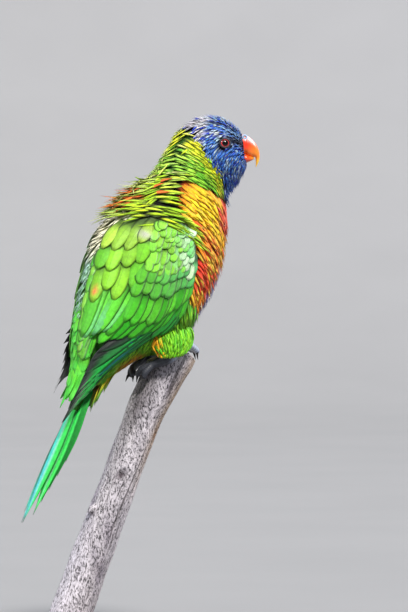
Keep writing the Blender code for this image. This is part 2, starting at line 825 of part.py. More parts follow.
# Feet on the branch: lines of the toes of the right foot, root first, and where each claw ends.
FOOT_HUB = (17.6, -11.4, 187.6)
TOES = {
    "inner_front": (
        [(25.0, -17.0, 191.0), (35.6, -13.6, 197.2), (44.0, -6.0, 199.6), (51.0, -1.6, 196.0)],
        (55.4, -0.8, 190.4),
    ),
    "outer_front": (
        [(24.6, -18.2, 186.0), (32.6, -19.0, 184.8)],
        (37.6, -18.4, 181.2),
    ),
    "inner_back": (
        [(12.6, -7.2, 185.0), (11.4, -3.4, 181.6)],
        (10.6, -1.8, 176.4),
    ),
    "outer_back": (
        [(13.4, -11.0, 183.6), (12.2, -10.2, 180.6)],
        (8.6, -9.6, 176.4),
    ),
}
THIGH = np.array(
    [
        # x, y, z of the middle, and half sizes along x and y
        (27.0, -11.5, 217.0, 11.0, 7.0),
        (28.5, -13.8, 209.0, 15.0, 7.2),
        (28.5, -16.0, 202.0, 14.0, 8.0),
        (27.5, -18.2, 196.0, 10.5, 6.5),
        (25.5, -19.2, 191.5, 5.0, 3.0),
    ]
)


# Loose feathers of the thigh: the way each faces in degrees, 0 forward and -90 outward, and its two ends
# as shares of the thigh's height.
THIGH_FEATHER_HALF_WIDTH = 4.4
THIGH_FEATHER_LIFTS = (-0.6, 1.6)  # at the root and at the tip
THIGH_FEATHERS = [(-5, 0.3, 0.85), (-50, 0.3, 0.95), (-95, 0.3, 0.9), (-72, 0.55, 1.1)]


def thigh_feather(name, side, turn, start, end, collection):
    """One feather lying down the thigh, its tip a little out from it."""
    shares = np.linspace(start, end, len(COVERT_OUTLINE))
    table = spline(THIGH, np.minimum(shares, 1.0) * (len(THIGH) - 1))
    drop = np.maximum(shares - 1.0, 0.0) * (THIGH[0][2] - THIGH[-1][2])
    way = np.array((math.cos(turn), math.sin(turn)))
    reach = table[:, 3:5] * way
    lift = np.linspace(*THIGH_FEATHER_LIFTS, len(shares))
    middle = np.stack([table[:, 0] + reach[:, 0], table[:, 1] + reach[:, 1], table[:, 2] - drop], -1)
    out = np.array((way[0], way[1], 0.0))
    across = np.array((-way[1], way[0], 0.0))
    half = THIGH_FEATHER_HALF_WIDTH * np.asarray(COVERT_OUTLINE)
    edges = middle[:, None] + across * (half[:, None] * np.array((-1, 1)))[..., None]
    edges = edges + out * lift[:, None, None]
    flip = np.array((1, side, 1))
    thick = out * VANE_THICKNESS / 2
    return plate(name, (edges + thick) * flip, (edges - thick) * flip, collection)


def make_leg(name, side, collection):
    """One leg: feathered thigh, a short bare shank and four toes, two forward and two back."""
    middle_y = PERCH_LINE[-2][1] * 0.4

    def seen(point):
        return (point[0], point[1] if side > 0 else 2 * middle_y - point[1], point[2])

    table = spline(THIGH, np.linspace(0, len(THIGH) - 1, 8))
    angle = np.linspace(0, 2 * math.pi, 14, endpoint=False)
    rings = np.stack(
        [
            table[:, :1] + table[:, 3:4] * np.cos(angle),
            side * (table[:, 1:2] + table[:, 4:5] * np.sin(angle)),
            table[:, 2:3] + 0 * angle,
        ],
        -1,
    )
    leg = loft(name, rings, collection)
    body_cutter = loft("body_cutter", body_rings(3.0, 12.0, 19, 24, lift=GAP), collection)
    combined(leg, [body_cutter], "DIFFERENCE")
    perch_cutter = make_perch("perch_cutter", collection, GAP)
    combined(leg, [perch_cutter], "DIFFERENCE")
    hub = np.array(seen(FOOT_HUB))
    shin_top = np.array((24.5, side * -18.5, 194.0))
    pieces = [tube("shank", [shin_top, (shin_top + hub) / 2, hub], (2.4, 2.2, 2.4), collection)]
    for toe, (line, claw_end) in TOES.items():
        points = [hub] + [np.array(seen(p)) for p in line]
        last = points[-1]
        bend = (last + np.array(seen(claw_end))) / 2 + (0, 0, 0.7)
        points += [bend, np.array(seen(claw_end))]
        radii = [2.3] + [TOE_RADIUS] * (len(line) - 1) + [TOE_RADIUS * 0.85, CLAW_RADIUS, 0.25]
        pieces.append(tube(toe, points, radii, collection))
    for index, (turn, start, end) in enumerate(THIGH_FEATHERS):
        turn = math.radians(turn)
        pieces.append(thigh_feather(f"{name}_feather_{index}", side, turn, start, end, collection))
    combined(leg, pieces, "UNION")
    return leg


def make_stand(collection):
    """Flat base with eased edges, and one upright rod from it to the branch."""
    shape = bmesh.new()
    bmesh.ops.create_cube(shape, size=1.0)
    for vertex in shape.verts:
        vertex.co.x *= BASE_SIZE[0] * MM
        vertex.co.y *= BASE_SIZE[1] * MM
        vertex.co.z = (vertex.co.z + 0.5) * BASE_SIZE[2] * MM
    mesh = bpy.data.meshes.new("stand_base")
    shape.to_mesh(mesh)
    shape.free()
    base = bpy.data.objects.new("stand_base", mesh)
    collection.objects.link(base)
    edge = base.modifiers.new("eased_edges", "BEVEL")
    edge.width = BASE_EDGE * MM
    edge.segments = 2
    low = BASE_SIZE[2] + GAP
    high = PERCH_LINE[0][2] - GAP
    foot = (PERCH_LINE[0][0], PERCH_LINE[0][1], (low + high) / 2)
    post = rod("stand_rod", foot, (0, 0, 1), ROD_RADIUS, high - low, collection, 24)
    return base, post


def paint(piece, colour, roughness, metallic=0.0):
    """Gives the piece its own plain material."""
    material = bpy.data.materials.new(piece.name)
    material.use_nodes = True
    shader = material.node_tree.nodes["Principled BSDF"]
    shader.inputs["Base Color"].default_value = (*colour, 1.0)
    shader.inputs["Roughness"].default_value = roughness
    shader.inputs["Metallic"].default_value = metallic
    piece.data.materials.clear()
    piece.data.materials.append(material)
    piece.data.shade_smooth()
    piece.data.set_sharp_from_angle(angle=math.radians(40))


def main():
    for old in list(bpy.data.objects):
        bpy.data.objects.remove(old)
    bird = new_collection(BIRD)
    paint(make_torso(bird), (0.62, 0.12, 0.02), 0.7)
    paint(make_neck(bird), (0.30, 0.45, 0.03), 0.7)
    paint(make_head(bird), (0.02, 0.05, 0.40), 0.6)
    for eye in make_eyes(bird):
        paint(eye, (0.45, 0.06, 0.01), 0.1)
    upper, lower = make_bill(bird)
    paint(upper, (0.85, 0.10, 0.01), 0.3)
    paint(lower, (0.80, 0.12, 0.01), 0.35)
    for name, side in (("wing_right", 1), ("wing_left", -1)):
        paint(make_wing(name, side, bird), (0.03, 0.36, 0.03), 0.6)
    paint(make_tail(bird), (0.02, 0.40, 0.15), 0.6)
    for name, side in (("leg_right", 1), ("leg_left", -1)):
        paint(make_leg(name, side, bird), (0.12, 0.42, 0.02), 0.7)
    paint(make_branch(bird), (0.45, 0.42, 0.38), 0.9)
    base, post = make_stand(bird)
    paint(base, (0.06, 0.035, 0.02), 0.4)
    paint(post, (0.5, 0.5, 0.52), 0.3, 1.0)


main()
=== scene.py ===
"""Rainbow lorikeet at life size on its cut branch, as a display model.

The bird's skin is one lofted surface, and every feather is a thin closed vane laid over it. A place on the
body is written (k, a): k counts the body's sections from the tail up to the bill, and a is the angle round
the body in degrees, 0 on the back, -90 on the bird's right, 90 on its left and 180 on the belly. Lengths
are in millimetres until a mesh is made.
"""

import math

import bpy
import numpy as np
from mathutils import Matrix


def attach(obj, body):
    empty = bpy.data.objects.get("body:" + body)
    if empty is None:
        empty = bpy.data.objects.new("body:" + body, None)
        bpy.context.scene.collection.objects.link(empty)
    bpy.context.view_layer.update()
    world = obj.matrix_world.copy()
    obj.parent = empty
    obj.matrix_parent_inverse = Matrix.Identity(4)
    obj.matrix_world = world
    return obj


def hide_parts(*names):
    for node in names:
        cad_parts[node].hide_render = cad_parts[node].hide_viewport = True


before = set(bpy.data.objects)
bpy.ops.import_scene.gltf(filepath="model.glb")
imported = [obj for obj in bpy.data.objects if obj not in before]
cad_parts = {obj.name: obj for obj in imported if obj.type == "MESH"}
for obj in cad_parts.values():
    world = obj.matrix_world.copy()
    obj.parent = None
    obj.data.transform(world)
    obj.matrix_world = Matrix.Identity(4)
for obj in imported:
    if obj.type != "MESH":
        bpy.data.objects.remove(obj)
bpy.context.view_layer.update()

MM = 0.001
# each section's back point x and z, belly point x and z, half width, and share of the head's turn
SECTIONS = np.array(
    [
        (-60.3, 110.7, -55.9, 108.3, 9.0, 0.0),
        (-51.3, 130.8, -44.3, 127.0, 11.5, 0.0),
        (-42.7, 151.1, -32.1, 145.5, 12.0, 0.0),
        (-34.1, 170.3, -20.9, 163.3, 12.0, 0.0),
        (-29.5, 186.0, -9.5, 177.5, 12.5, 0.0),
        (-29.2, 200.0, 0.5, 184.5, 16.5, 0.0),
        (-27.2, 216.5, 15.6, 193.5, 21.5, 0.0),
        (-23.1, 237.3, 35.3, 203.9, 25.5, 0.0),
        (-17.7, 256.2, 51.0, 220.3, 28.0, 0.0),
        (-9.5, 272.6, 59.8, 235.4, 28.5, 0.0),
        (1.4, 285.8, 65.9, 251.8, 27.5, 0.0),
        (12.2, 295.9, 68.6, 268.1, 24.5, 0.0),
        (21.9, 304.7, 70.5, 283.3, 20.5, 0.05),
        (29.1, 314.1, 71.4, 293.3, 17.5, 0.20),
        (34.7, 323.6, 74.0, 298.4, 16.5, 0.45),
        (40.0, 332.4, 77.3, 302.8, 16.5, 0.75),
        (48.8, 340.3, 80.3, 307.2, 16.0, 0.95),
        (58.9, 343.4, 81.9, 310.0, 15.0, 1.0),
        (67.7, 342.2, 82.8, 312.2, 13.0, 1.0),
        (75.3, 337.8, 83.2, 313.5, 10.0, 1.0),
        (81.6, 332.4, 82.8, 314.4, 7.0, 1.0),
    ]
)
HEAD_TURN = math.radians(22)
NECK_PIVOT_X = 47.6
FACE = 20.0  # section at the root of the bill
SKIN_END = 2.6  # section where the skin ends in the tail's root
SKIN_DEPTH = 1.0  # how far the skin lies under the solids' surface: the depth of the small feathers
EYE_PLACE = (16.83, -90.0)
EYE_RADIUS = 4.0
EYE_SUNK = 2.6
CORNEA_BULGE = 0.035
LID_RISE, LID_RADIUS, LID_THICK = 0.3, 3.15, 0.48
# the nostril's x, distance from the middle plane and z before the head is turned, and the way it faces
NOSTRIL = (82.0, 4.2, 330.2)
NOSTRIL_WAY = (0.15, 0.88, 0.45)
NOSTRIL_RADIUS, NOSTRIL_THICK = 1.2, 0.6
UNWRAP_SECTIONS = 21  # sections of the body that the OFBake map's height takes in
UNWRAP_TURN = 6.4  # radians of a turn that the OFBake map's width takes in, a little over a full one
FEATHER_PATCH = 0.003  # share of the OFBake map's width that a small feather takes
CELL_FILL = 0.94  # share of its cell that a large feather takes

TAIL_ROOT = np.array((-19.5, 0.0, 181.8))
TAIL_WAY = np.array((-0.430, 0.0, -0.903))
TAIL_UP = np.array((-0.903, 0.0, 0.430))
TAIL_ROLL = math.radians(15)
TAIL_ROLL_START, TAIL_ROLL_END = 12.0, 60.0
TAIL_ARCH = 0.02
TAIL_LENGTHS = (102.0, 95.0, 86.0, 77.0, 67.0, 57.0)

# The camera stands where the photograph's did: turned to the bird's right, level with its wing.
VIEW_TURN = math.radians(-22)
VIEW_RISE = math.radians(1.5)
VIEW_DISTANCE = 2500.0
VIEW_TARGET = np.array((54.8, -5.6, 224.0))
VIEW_HEIGHT = 385.6  # millimetres of the object's plane that the picture's height takes in
SENSOR = 36.0

DRAW = np.random.default_rng(20)


# Numbers and colours


def unit(vectors, least=1e-9):
    """The vectors at length one, or shorter where they were shorter than least."""
    return vectors / np.maximum(np.linalg.norm(vectors, axis=-1, keepdims=True), least)


def smooth(x, low, high):
    """0 at low, 1 at high, level beyond them, and an S between them."""
    t = np.clip((np.asarray(x, float) - low) / (high - low), 0, 1)
    return t * t * (3 - 2 * t)


def bell(x, middle, width):
    """1 at the middle, falling off on both sides to a third at width from it."""
    return np.exp(-(((x - middle) / width) ** 2))


def ripple(first, second):
    """Slow uneven waves from -1 to 1: sines of the two values at unlike rates, added up."""
    total = 0
    for shift, term in enumerate((first, second)):
        total = total + np.sin(term + 1.7 * shift) + 0.6 * np.sin(2.3 * term + 0.9 * shift + 1.1)
    return total / 3.2


def signed(a):
    """The angle in degrees from -180 to 180."""
    return (a + 180) % 360 - 180


def folded(a):
    """Angle from the back, 0 to 180, the same on both sides."""
    return np.abs(signed(a))


def circle(count):
    """Angles spread evenly over a full turn."""
    return np.linspace(0, 2 * math.pi, count, endpoint=False)


def pairs(first, second):
    """Two grids of one shape, or that spread to one, as a list of pairs."""
    return np.stack(np.broadcast_arrays(first, second), -1).reshape(-1, 2)


def chance(count):
    """A random share for each."""
    return DRAW.uniform(0, 1, count)


def linear(code):
    """Linear red, green and blue of an sRGB hex colour."""
    channels = np.array([int(code[i : i + 2], 16) / 255 for i in (1, 3, 5)])
    return np.where(channels <= 0.04045, channels / 12.92, ((channels + 0.055) / 1.055) ** 2.4)


def mixed(first, second, share):
    """The first colour turned into the second by share. Each is one colour or an array of them."""
    first = linear(first) if isinstance(first, str) else first
    second = linear(second) if isinstance(second, str) else second
    share = np.asarray(share, float)[..., None]
    return first * (1 - share) + second * share


def layered(colour, *coats):
    """The colour under coats of other colours, each given with its share."""
    for code, share in coats:
        colour = mixed(colour, code, share)
    return colour


# Form of the body


def spline(table, k):
    """Rows of the table read at k along the Catmull-Rom curve through them."""
    last = len(table) - 1
    k = np.clip(np.asarray(k, float), 0, last)
    i = np.minimum(k.astype(int), last - 1)
    f = (k - i)[..., None]
    p1, p2 = table[i], table[i + 1]
    p0 = np.where((i > 0)[..., None], table[np.maximum(i - 1, 0)], 2 * p1 - p2)
    p3 = np.where((i < last - 1)[..., None], table[np.minimum(i + 2, last)], 2 * p2 - p1)
    slope = (p2 - p0) * f
    curve = (2 * p0 - 5 * p1 + 4 * p2 - p3) * f**2 + (3 * p1 - p0 - 3 * p2 + p3) * f**3
    return 0.5 * (2 * p1 + slope + curve)


def turned(x, y, z, share):
    """A point turned about the upright line through the neck by this share of the head's turn."""
    angle = -HEAD_TURN * share
    x = x - NECK_PIVOT_X
    along, across = x * np.cos(angle) - y * np.sin(angle), x * np.sin(angle) + y * np.cos(angle)
    return np.stack([NECK_PIVOT_X + along, across, z + 0 * x], -1)


def body(k, a):
    """Point of the body: an ellipse in section k, from its belly point to its back point, at angle a."""
    back_x, back_z, belly_x, belly_z, width, share = np.moveaxis(spline(SECTIONS, k), -1, 0)
    a = np.radians(a)
    up = (1 + np.cos(a)) / 2
    x = belly_x + (back_x - belly_x) * up
    z = belly_z + (back_z - belly_z) * up
    return turned(x, width * np.sin(a), z, share)


# x, y, z of each level's middle and half sizes along x and y, from the ankle up
THIGH = np.array(
    [
        (25.5, -19.2, 191.5, 5.0, 3.0),
        (27.5, -18.2, 196.0, 10.5, 6.5),
        (28.5, -16.0, 202.0, 14.0, 8.0),
        (28.5, -13.8, 209.0, 15.0, 7.2),
        (27.0, -11.5, 217.0, 11.0, 7.0),
    ]
)


def thigh(k, a):
    """Point of the right thigh: an ellipse in level k, turned by a from its back, with k rising."""
    x, y, z, half_x, half_y = np.moveaxis(spline(THIGH, k), -1, 0)
    a = np.radians(a)
    return np.stack([x - half_x * np.cos(a), y + half_y * np.sin(a), z], -1)


def tail_plane(s, y):
    """Point of the tail's middle surface, s down the tail and y to the bird's right.

    The surface is arched like a roof, and rolls over as it leaves the body.
    """
    s = np.asarray(s, float)[..., None]
    y = np.asarray(y, float)[..., None]
    roll = TAIL_ROLL * smooth(s, TAIL_ROLL_START, TAIL_ROLL_END)
    rightward = np.array((0.0, -1.0, 0.0))
    across = rightward * np.cos(roll) - TAIL_UP * np.sin(roll)
    up = TAIL_UP * np.cos(roll) + rightward * np.sin(roll)
    return TAIL_ROOT + s * TAIL_WAY + y * across - TAIL_ARCH * y**2 * up


def slopes(surface, k, a):
    """How the surface's point moves with k and with a, and the outward normal there."""
    step = 0.01
    by_k = (surface(k + step, a) - surface(k - step, a)) / (2 * step)
    by_a = (surface(k, a + step) - surface(k, a - step)) / (2 * step)
    return by_k, by_a, unit(np.cross(by_k, by_a))


def parts_of(step, by_k, by_a):
    """How far a small vector along the surface moves k and a."""
    kk, ka, aa = ((p * q).sum(-1) for p, q in ((by_k, by_k), (by_k, by_a), (by_a, by_a)))
    with_k, with_a = (by_k * step).sum(-1), (by_a * step).sum(-1)
    area = np.maximum(kk * aa - ka**2, 1e-9)
    return (aa * with_k - ka * with_a) / area, (kk * with_a - ka * with_k) / area


def raised(surface, k, a, lift):
    """Point above the surface by lift."""
    k = np.asarray(k, float)
    a = np.asarray(a, float)
    return surface(k, a) + slopes(surface, k, a)[2] * np.asarray(lift, float)[..., None]


# Meshes


def mesh_object(name, points, faces, colours=None, lie=None, bake=None):
    """Object from points in millimetres and a list of arrays of faces.

    colours has a linear colour for each point, and lie a pair of millimetres for each point, across and
    along the feather. bake has a place on the unwrap for each point.
    """
    points = points.reshape(-1, 3)
    sides = sorted({f.shape[1] for f in faces})
    groups = [np.concatenate([f for f in faces if f.shape[1] == n]) for n in sides]
    mesh = bpy.data.meshes.new(name)
    corners = np.concatenate([g.reshape(-1) for g in groups]).astype(np.int32)
    sizes = np.concatenate([np.full(len(g), g.shape[1]) for g in groups]).astype(np.int32)
    starts = np.concatenate([[0], np.cumsum(sizes)[:-1]]).astype(np.int32)
    mesh.vertices.add(len(points))
    mesh.vertices.foreach_set("co", (points * MM).astype(np.float32).ravel())
    mesh.loops.add(len(corners))
    mesh.loops.foreach_set("vertex_index", corners)
    mesh.polygons.add(len(sizes))
    mesh.polygons.foreach_set("loop_start", starts)
    mesh.polygons.foreach_set("use_smooth", np.ones(len(sizes), bool))
    mesh.update(calc_edges=True)
    if colours is not None:
        layer = mesh.color_attributes.new("Plumage", "FLOAT_COLOR", "POINT")
        full = np.concatenate([np.clip(colours.reshape(-1, 3), 0, 1), np.ones((len(points), 1))], -1)
        layer.data.foreach_set("color", full.astype(np.float32).ravel())
    for label, places in (("OFBake", bake), ("Lie", lie)):
        if places is not None:
            layer = mesh.uv_layers.new(name=label)
            layer.data.foreach_set("uv", places[corners].astype(np.float32).ravel())
    mesh.validate()
    made = bpy.data.objects.new(name, mesh)
    bpy.context.scene.collection.objects.link(made)
    return made


def grid_faces(rows, columns, closed=False):
    """Quads of a grid of points, row after row, joined round when closed."""
    row, column = np.meshgrid(
        np.arange(rows - 1), np.arange(columns if closed else columns - 1), indexing="ij"
    )
    after = (column + 1) % columns
    low = row * columns
    high = low + columns
    return np.stack([low + column, low + after, high + after, high + column], -1).reshape(-1, 4)


def tube_faces(rows, columns, offset=0):
    """Quads round a closed grid and the fans that close its two ends, as a list of arrays."""
    fan = np.arange(columns)
    return [
        grid_faces(rows, columns, True) + offset,
        fan[None, ::-1] + offset,
        fan[None, :] + (rows - 1) * columns + offset,
    ]


def flipped(faces, wanted=True):
    """The same faces looking the other way, if that is wanted."""
    return [f[:, ::-1] for f in faces] if wanted else faces


# Feathers

# breadth of each kind at even steps from root to tip, as shares of its half width
OUTLINES = {
    "tuft": (0.45, 0.95, 1.0, 0.62, 0.06),
    "hair": (0.6, 1.0, 0.75, 0.08),
    "scale": (0.45, 0.8, 0.97, 1.0, 1.0, 1.0, 0.99, 0.97, 0.9, 0.72, 0.28),
    "covert": (0.5, 0.75, 0.92, 1.0, 1.0, 1.0, 1.0, 0.99, 0.95, 0.85, 0.64, 0.22),
    "flight": (0.45, 0.62, 0.78, 0.9, 0.97, 1.0, 1.0, 1.0, 0.98, 0.95, 0.88, 0.76, 0.56, 0.12),
    "primary": (0.6, 0.74, 0.84, 0.92, 0.97, 1.0, 1.0, 0.99, 0.96, 0.9, 0.8, 0.64, 0.42, 0.2, 0.04),
    "tail": (0.5, 0.75, 0.9, 0.98, 1.0, 1.0, 0.99, 0.96, 0.9, 0.82, 0.7, 0.55, 0.36, 0.16, 0.03),
}


def lay(
    roots, tips, half, lifts, outline="tuft", columns=3, surface=body,
    bow=0.0, tilt=0.0, camber=0.0, thick=0.16, ragged=0.0, mirror=False,
):
    """Points of many feathers laid from root to tip places on a surface.

    Each runs along a quadratic curve from root to tip in (k, a), and its breadth is the half width times
    the outline. The height over the surface goes through lifts at root, half way and tip, plus tilt times
    the distance across, less camber times that distance squared. Each section is a flat lens: its upper
    points carry the columns, and its lower points, without the two rims, lie under them by thick.
    Returns points of shape (feathers, rows, ring), with the shares across and along for each.
    """
    roots = np.asarray(roots, float)
    tips = np.asarray(tips, float)
    count = len(roots)
    shape = np.asarray(OUTLINES[outline])
    rows = len(shape)
    half, bow, tilt = (np.broadcast_to(np.asarray(value, float), (count,)) for value in (half, bow, tilt))
    lifts = np.broadcast_to(np.asarray(lifts, float), (count, 3))
    t = np.linspace(0, 1, rows)[None, :, None]
    middle = (roots + tips) / 2
    middle[:, 1] += bow
    r, m, e = roots[:, None], middle[:, None], tips[:, None]
    path = (1 - t) ** 2 * r + 2 * t * (1 - t) * m + t**2 * e
    way = 2 * (1 - t) * (m - r) + 2 * t * (e - m)
    by_k, by_a, normal = slopes(surface, path[..., 0], path[..., 1])
    forward = by_k * way[..., :1] + by_a * way[..., 1:]
    across = unit(np.cross(normal, forward))
    step_k, step_a = parts_of(across, by_k, by_a)
    u = np.linspace(-1, 1, columns)
    ring_u = np.concatenate([u, u[-2:0:-1]])
    under = np.concatenate([np.zeros(columns), np.ones(columns - 2)])
    rim = np.concatenate([1 - np.abs(u) ** 2, np.zeros(columns - 2)])
    breadth = (half[:, None] * shape[None, :])[..., None]
    if ragged:
        wear = DRAW.uniform(-1, 1, (count, rows, 2)) * ragged
        breadth = breadth * (1 + wear[..., np.where(ring_u > 0, 1, 0)] * np.abs(ring_u))
    reach = breadth * ring_u
    k = path[..., 0, None] + step_k[..., None] * reach
    a = path[..., 1, None] + step_a[..., None] * reach
    share = t[..., 0]
    low, mid, high = lifts[:, :1], lifts[:, 1:2], lifts[:, 2:]
    bend = 2 * mid - (low + high) / 2
    height = (1 - share) ** 2 * low + 2 * share * (1 - share) * bend + share**2 * high
    height = height[..., None] + tilt[:, None, None] * reach - camber * reach**2
    taper = np.clip(shape * 1.5, 0.25, 1)[None, :, None]
    height = height + thick * taper * (0.5 * rim - 0.5 * under)
    length = np.linalg.norm(forward, axis=-1).mean(-1)
    along_share = np.broadcast_to(share[..., None], k.shape)
    return {
        "points": raised(surface, k, a, height) * (1, -1 if mirror else 1, 1),
        "u": np.broadcast_to(ring_u, k.shape),
        "t": along_share,
        "x": reach,
        "y": along_share * length[:, None, None],
        "k": k,
        "a": a,
        "roots": roots,
        "mirror": mirror,
    }


def join_feathers(name, groups, colourings, own_cells=False):
    """One mesh of several groups of feathers, each with its colours.

    Each feather's patch on the OFBake map lies at its root's place on the body's unwrap, a round and k up.
    With own_cells each has a cell of its own instead, for a piece of few large feathers.
    """
    points, faces, colours, lie, bake = [], [], [], [], []
    start = number = 0
    across = max(1, math.ceil(math.sqrt(sum(len(g["points"]) for g in groups))))
    for group, colouring in zip(groups, colourings):
        count, rows, ring = group["u"].shape
        first = np.arange(count)[:, None, None] * rows * ring + start
        for f in flipped(tube_faces(rows, ring), not group["mirror"]):
            faces.append((f[None] + first).reshape(-1, f.shape[1]))
        points.append(group["points"].reshape(-1, 3))
        colours.append(np.broadcast_to(colouring, group["u"].shape + (3,)).reshape(-1, 3))
        lie.append(pairs(group["x"], group["y"]))
        if own_cells:
            cell = np.arange(number, number + count)
            corner = np.stack([cell % across, cell // across], -1) / across
            size = CELL_FILL / across
        else:
            k, a = group["roots"].T
            a = -a if group["mirror"] else a
            corner = np.stack([(a / 360 + 0.5) % 1, k / UNWRAP_SECTIONS], -1)
            size = FEATHER_PATCH
        patch = corner[:, None, None] + np.stack([(group["u"] + 1) / 2, group["t"]], -1) * size
        bake.append(patch.reshape(-1, 2))
        start += count * rows * ring
        number += count
    joined = (np.concatenate(part) for part in (colours, lie, bake))
    return mesh_object(name, np.concatenate(points), faces, *joined)


def run_along(line):
    """Distance along a line from its start to each of its points."""
    return np.concatenate([[0], np.cumsum(np.linalg.norm(np.diff(line, axis=0), axis=-1))])


def scatter(k_span, a_span, gap_k, gap_a, keep=None, surface=body):
    """Places spread over part of the body in staggered rows: gap_k apart along it and gap_a round it."""
    fine = 200
    k_fine, a_fine = np.linspace(*k_span, fine), np.linspace(*a_span, fine)
    run = run_along(surface(k_fine, np.full(fine, np.mean(a_span))))
    places = []
    for number, distance in enumerate(np.arange(0, run[-1], gap_k)):
        around = run_along(surface(np.full(fine, np.interp(distance, run, k_fine)), a_fine))
        spots = np.arange((number % 2) * gap_a / 2, around[-1], gap_a)
        spots = spots + DRAW.uniform(-0.3, 0.3, len(spots)) * gap_a
        jitter = DRAW.uniform(-0.35, 0.35, len(spots)) * gap_k
        k, a = np.interp(distance + jitter, run, k_fine), np.interp(spots, around, a_fine)
        places.append(np.stack([k, a], -1))
    places = np.concatenate(places)
    return places if keep is None else places[keep(places[:, 0], folded(places[:, 1]))]


def stepped(places, step, surface):
    """Places that lie one step further on, the step a small vector along the surface."""
    by_k, by_a, _ = slopes(surface, places[:, 0], places[:, 1])
    return places + np.stack(parts_of(step, by_k, by_a), -1)


def headed(places, length, heading, surface=body):
    """Tips of feathers of this length, each pointing heading degrees below the camera's rightward way.

    On the bird's left the pointing is mirrored, and near the midlines it turns into their plane.
    """
    a = places[:, 1]
    normal = slopes(surface, places[:, 0], a)[2]
    angle = np.radians(heading)
    side = folded(a)
    depth = np.where(signed(a) > 0, -1, 1) * smooth(side, 0, 22) * smooth(side, 180, 165)
    right = np.cos(angle)
    way = [math.cos(VIEW_TURN) * right, math.sin(VIEW_TURN) * right * depth, -np.sin(angle)]
    way = np.stack(way, -1)
    way -= (way * normal).sum(-1, keepdims=True) * normal
    return stepped(places, unit(way, 0.2) * np.reshape(length, (-1, 1)), surface)


def swept(places, length, turn, surface=body):
    """Tips of feathers of this length, each turned from the way to the tail by turn degrees to the belly."""
    by_k, by_a, _ = slopes(surface, places[:, 0], places[:, 1])
    side = np.where(signed(places[:, 1]) < 0, -1, 1)
    down = -unit(by_k)
    out = by_a * side[:, None]
    out = unit(out - (out * down).sum(-1, keepdims=True) * down)
    turn = np.radians(turn)[:, None]
    return stepped(places, (down * np.cos(turn) + out * np.sin(turn)) * length[:, None], surface)


def along(line, count):
    """Places spread evenly along a line of (k, a) points."""
    line = np.asarray(line, float)
    steps = np.linspace(0, 1, count)
    knots = np.linspace(0, 1, len(line))
    return np.stack([np.interp(steps, knots, line[:, i]) for i in (0, 1)], -1)


def plumes(places, length, half, lifts, turn=0, heading=None, surface=body, **options):
    """Feathers rooted at these places and swept over the body, or pointing the heading's way."""
    count = len(places)
    length = np.broadcast_to(length, (count,)) * DRAW.uniform(0.82, 1.15, count)
    if heading is None:
        tips = swept(places, length, turn + DRAW.normal(0, 6, count), surface)
    else:
        tips = headed(places, length, heading + DRAW.normal(0, 5, count), surface)
    half = half * DRAW.uniform(0.8, 1.15, count)
    lifts = np.stack([np.broadcast_to(value, (count,)) for value in lifts], -1).astype(float)
    lifts[:, 1] += DRAW.normal(0, 0.15, count)
    lifts[:, 2] += DRAW.normal(0, 0.3, count) * np.clip(lifts[:, 2], 0.4, 2)
    bow = DRAW.normal(0, 1.0, count)
    tilt = DRAW.normal(0, 0.12, count) * np.sign(signed(places[:, 1]))
    return lay(places, tips, half, lifts, bow=bow, tilt=tilt, surface=surface, **options)


# Markings


def breast_edge(k):
    """Angle from the back at which the mantle's lime gives way to the breast's yellow, in section k."""
    sections = [7.6, 8.4, 9.2, 10.1, 10.45, 10.7, 11.6, 12.3, 12.9]
    return np.interp(k, sections, [124, 116, 108, 102, 88, 76, 60, 61, 68])


def head_edge(side):
    """Section at which the violet-blue head gives way to the collar, at this angle from the back."""
    return np.interp(side, [0, 25, 42, 70, 100, 130, 180], [15.25, 15.35, 15.35, 15.15, 14.4, 13.6, 13.2])


def base_colour(k, a):
    """Colour of the skin under the plumage at a place on the body, in soft-edged regions: the plumage's
    markings, darkened as painted shade that shows in the gaps between the feathers.
    """
    side = folded(a)
    breast = smooth(side - breast_edge(k), -3, 5) * smooth(k, 7.4, 8.2) * smooth(k, 13.0, 12.7)
    red = smooth(side + 4 * ripple(k * 5.1, side * 0.12), 104, 124)
    neck = smooth(k, 12.6, 12.9)
    # the colours are dark as painted shade in the gaps; the mantle's, throat's and head's are nearly black
    return layered(
        np.broadcast_to(linear("#2c7414"), np.shape(k) + (3,)),
        ("#050703", smooth(k, 9.6, 10.2) * smooth(k, 13.0, 12.6)),  # mantle
        (mixed("#c05008", "#a81a0c", red), breast),
        ("#20225c", smooth(side, 140, 152) * smooth(k, 10.0, 9.4) * smooth(k, 6.4, 7.0)),  # belly
        ("#7a3a10", smooth(side, 135, 150) * smooth(k, 6.6, 6.1)),  # vent
        ("#2a5a10", neck * smooth(side, 130, 104)),
        ("#0e1f0a", neck * smooth(side, 104, 130)),  # throat
        ("#060a24", smooth(k - head_edge(side), -0.1, 0.0)),
    )


def uneven(colour, amount, hue=0.0):
    """The feathers' colours, each made a little lighter or darker, and greener or redder by hue."""
    factor = DRAW.uniform(1 - amount, 1 + amount, (len(colour), 1))
    shift = DRAW.uniform(-hue, hue, (len(colour), 1)) * np.array((1.0, -0.6, 0.3))
    return np.clip(colour * factor * (1 + shift), 0, 1)


def per_feather(colour):
    """One colour for all, or each feather's own, in a form that spreads over the feathers' points."""
    return linear(colour) if isinstance(colour, str) else colour[:, None, None]


def shaded(group, colour, root, bare, root_shade, rim=0.0, tip=None, tip_from=0.7):
    """Colours along each feather: painted shade at the root, its own colour from bare on, and a tip colour.

    root is the colour of the painted shade over each feather's root, where the next feathers cover it, and
    rim is how much of it the two edges keep, as painted shade in the gaps between them.
    """
    t = group["t"]
    full = per_feather(colour)
    if tip is not None:
        full = mixed(full, per_feather(tip), smooth(t, tip_from, tip_from + 0.25))
    # painted shade: the root's colour over the covered root and along both edges
    own = (1 - root_shade * smooth(t, bare, bare - 0.3)) * (1 - rim * np.abs(group["u"]) ** 1.5)
    return mixed(full, per_feather(root), 1 - own)


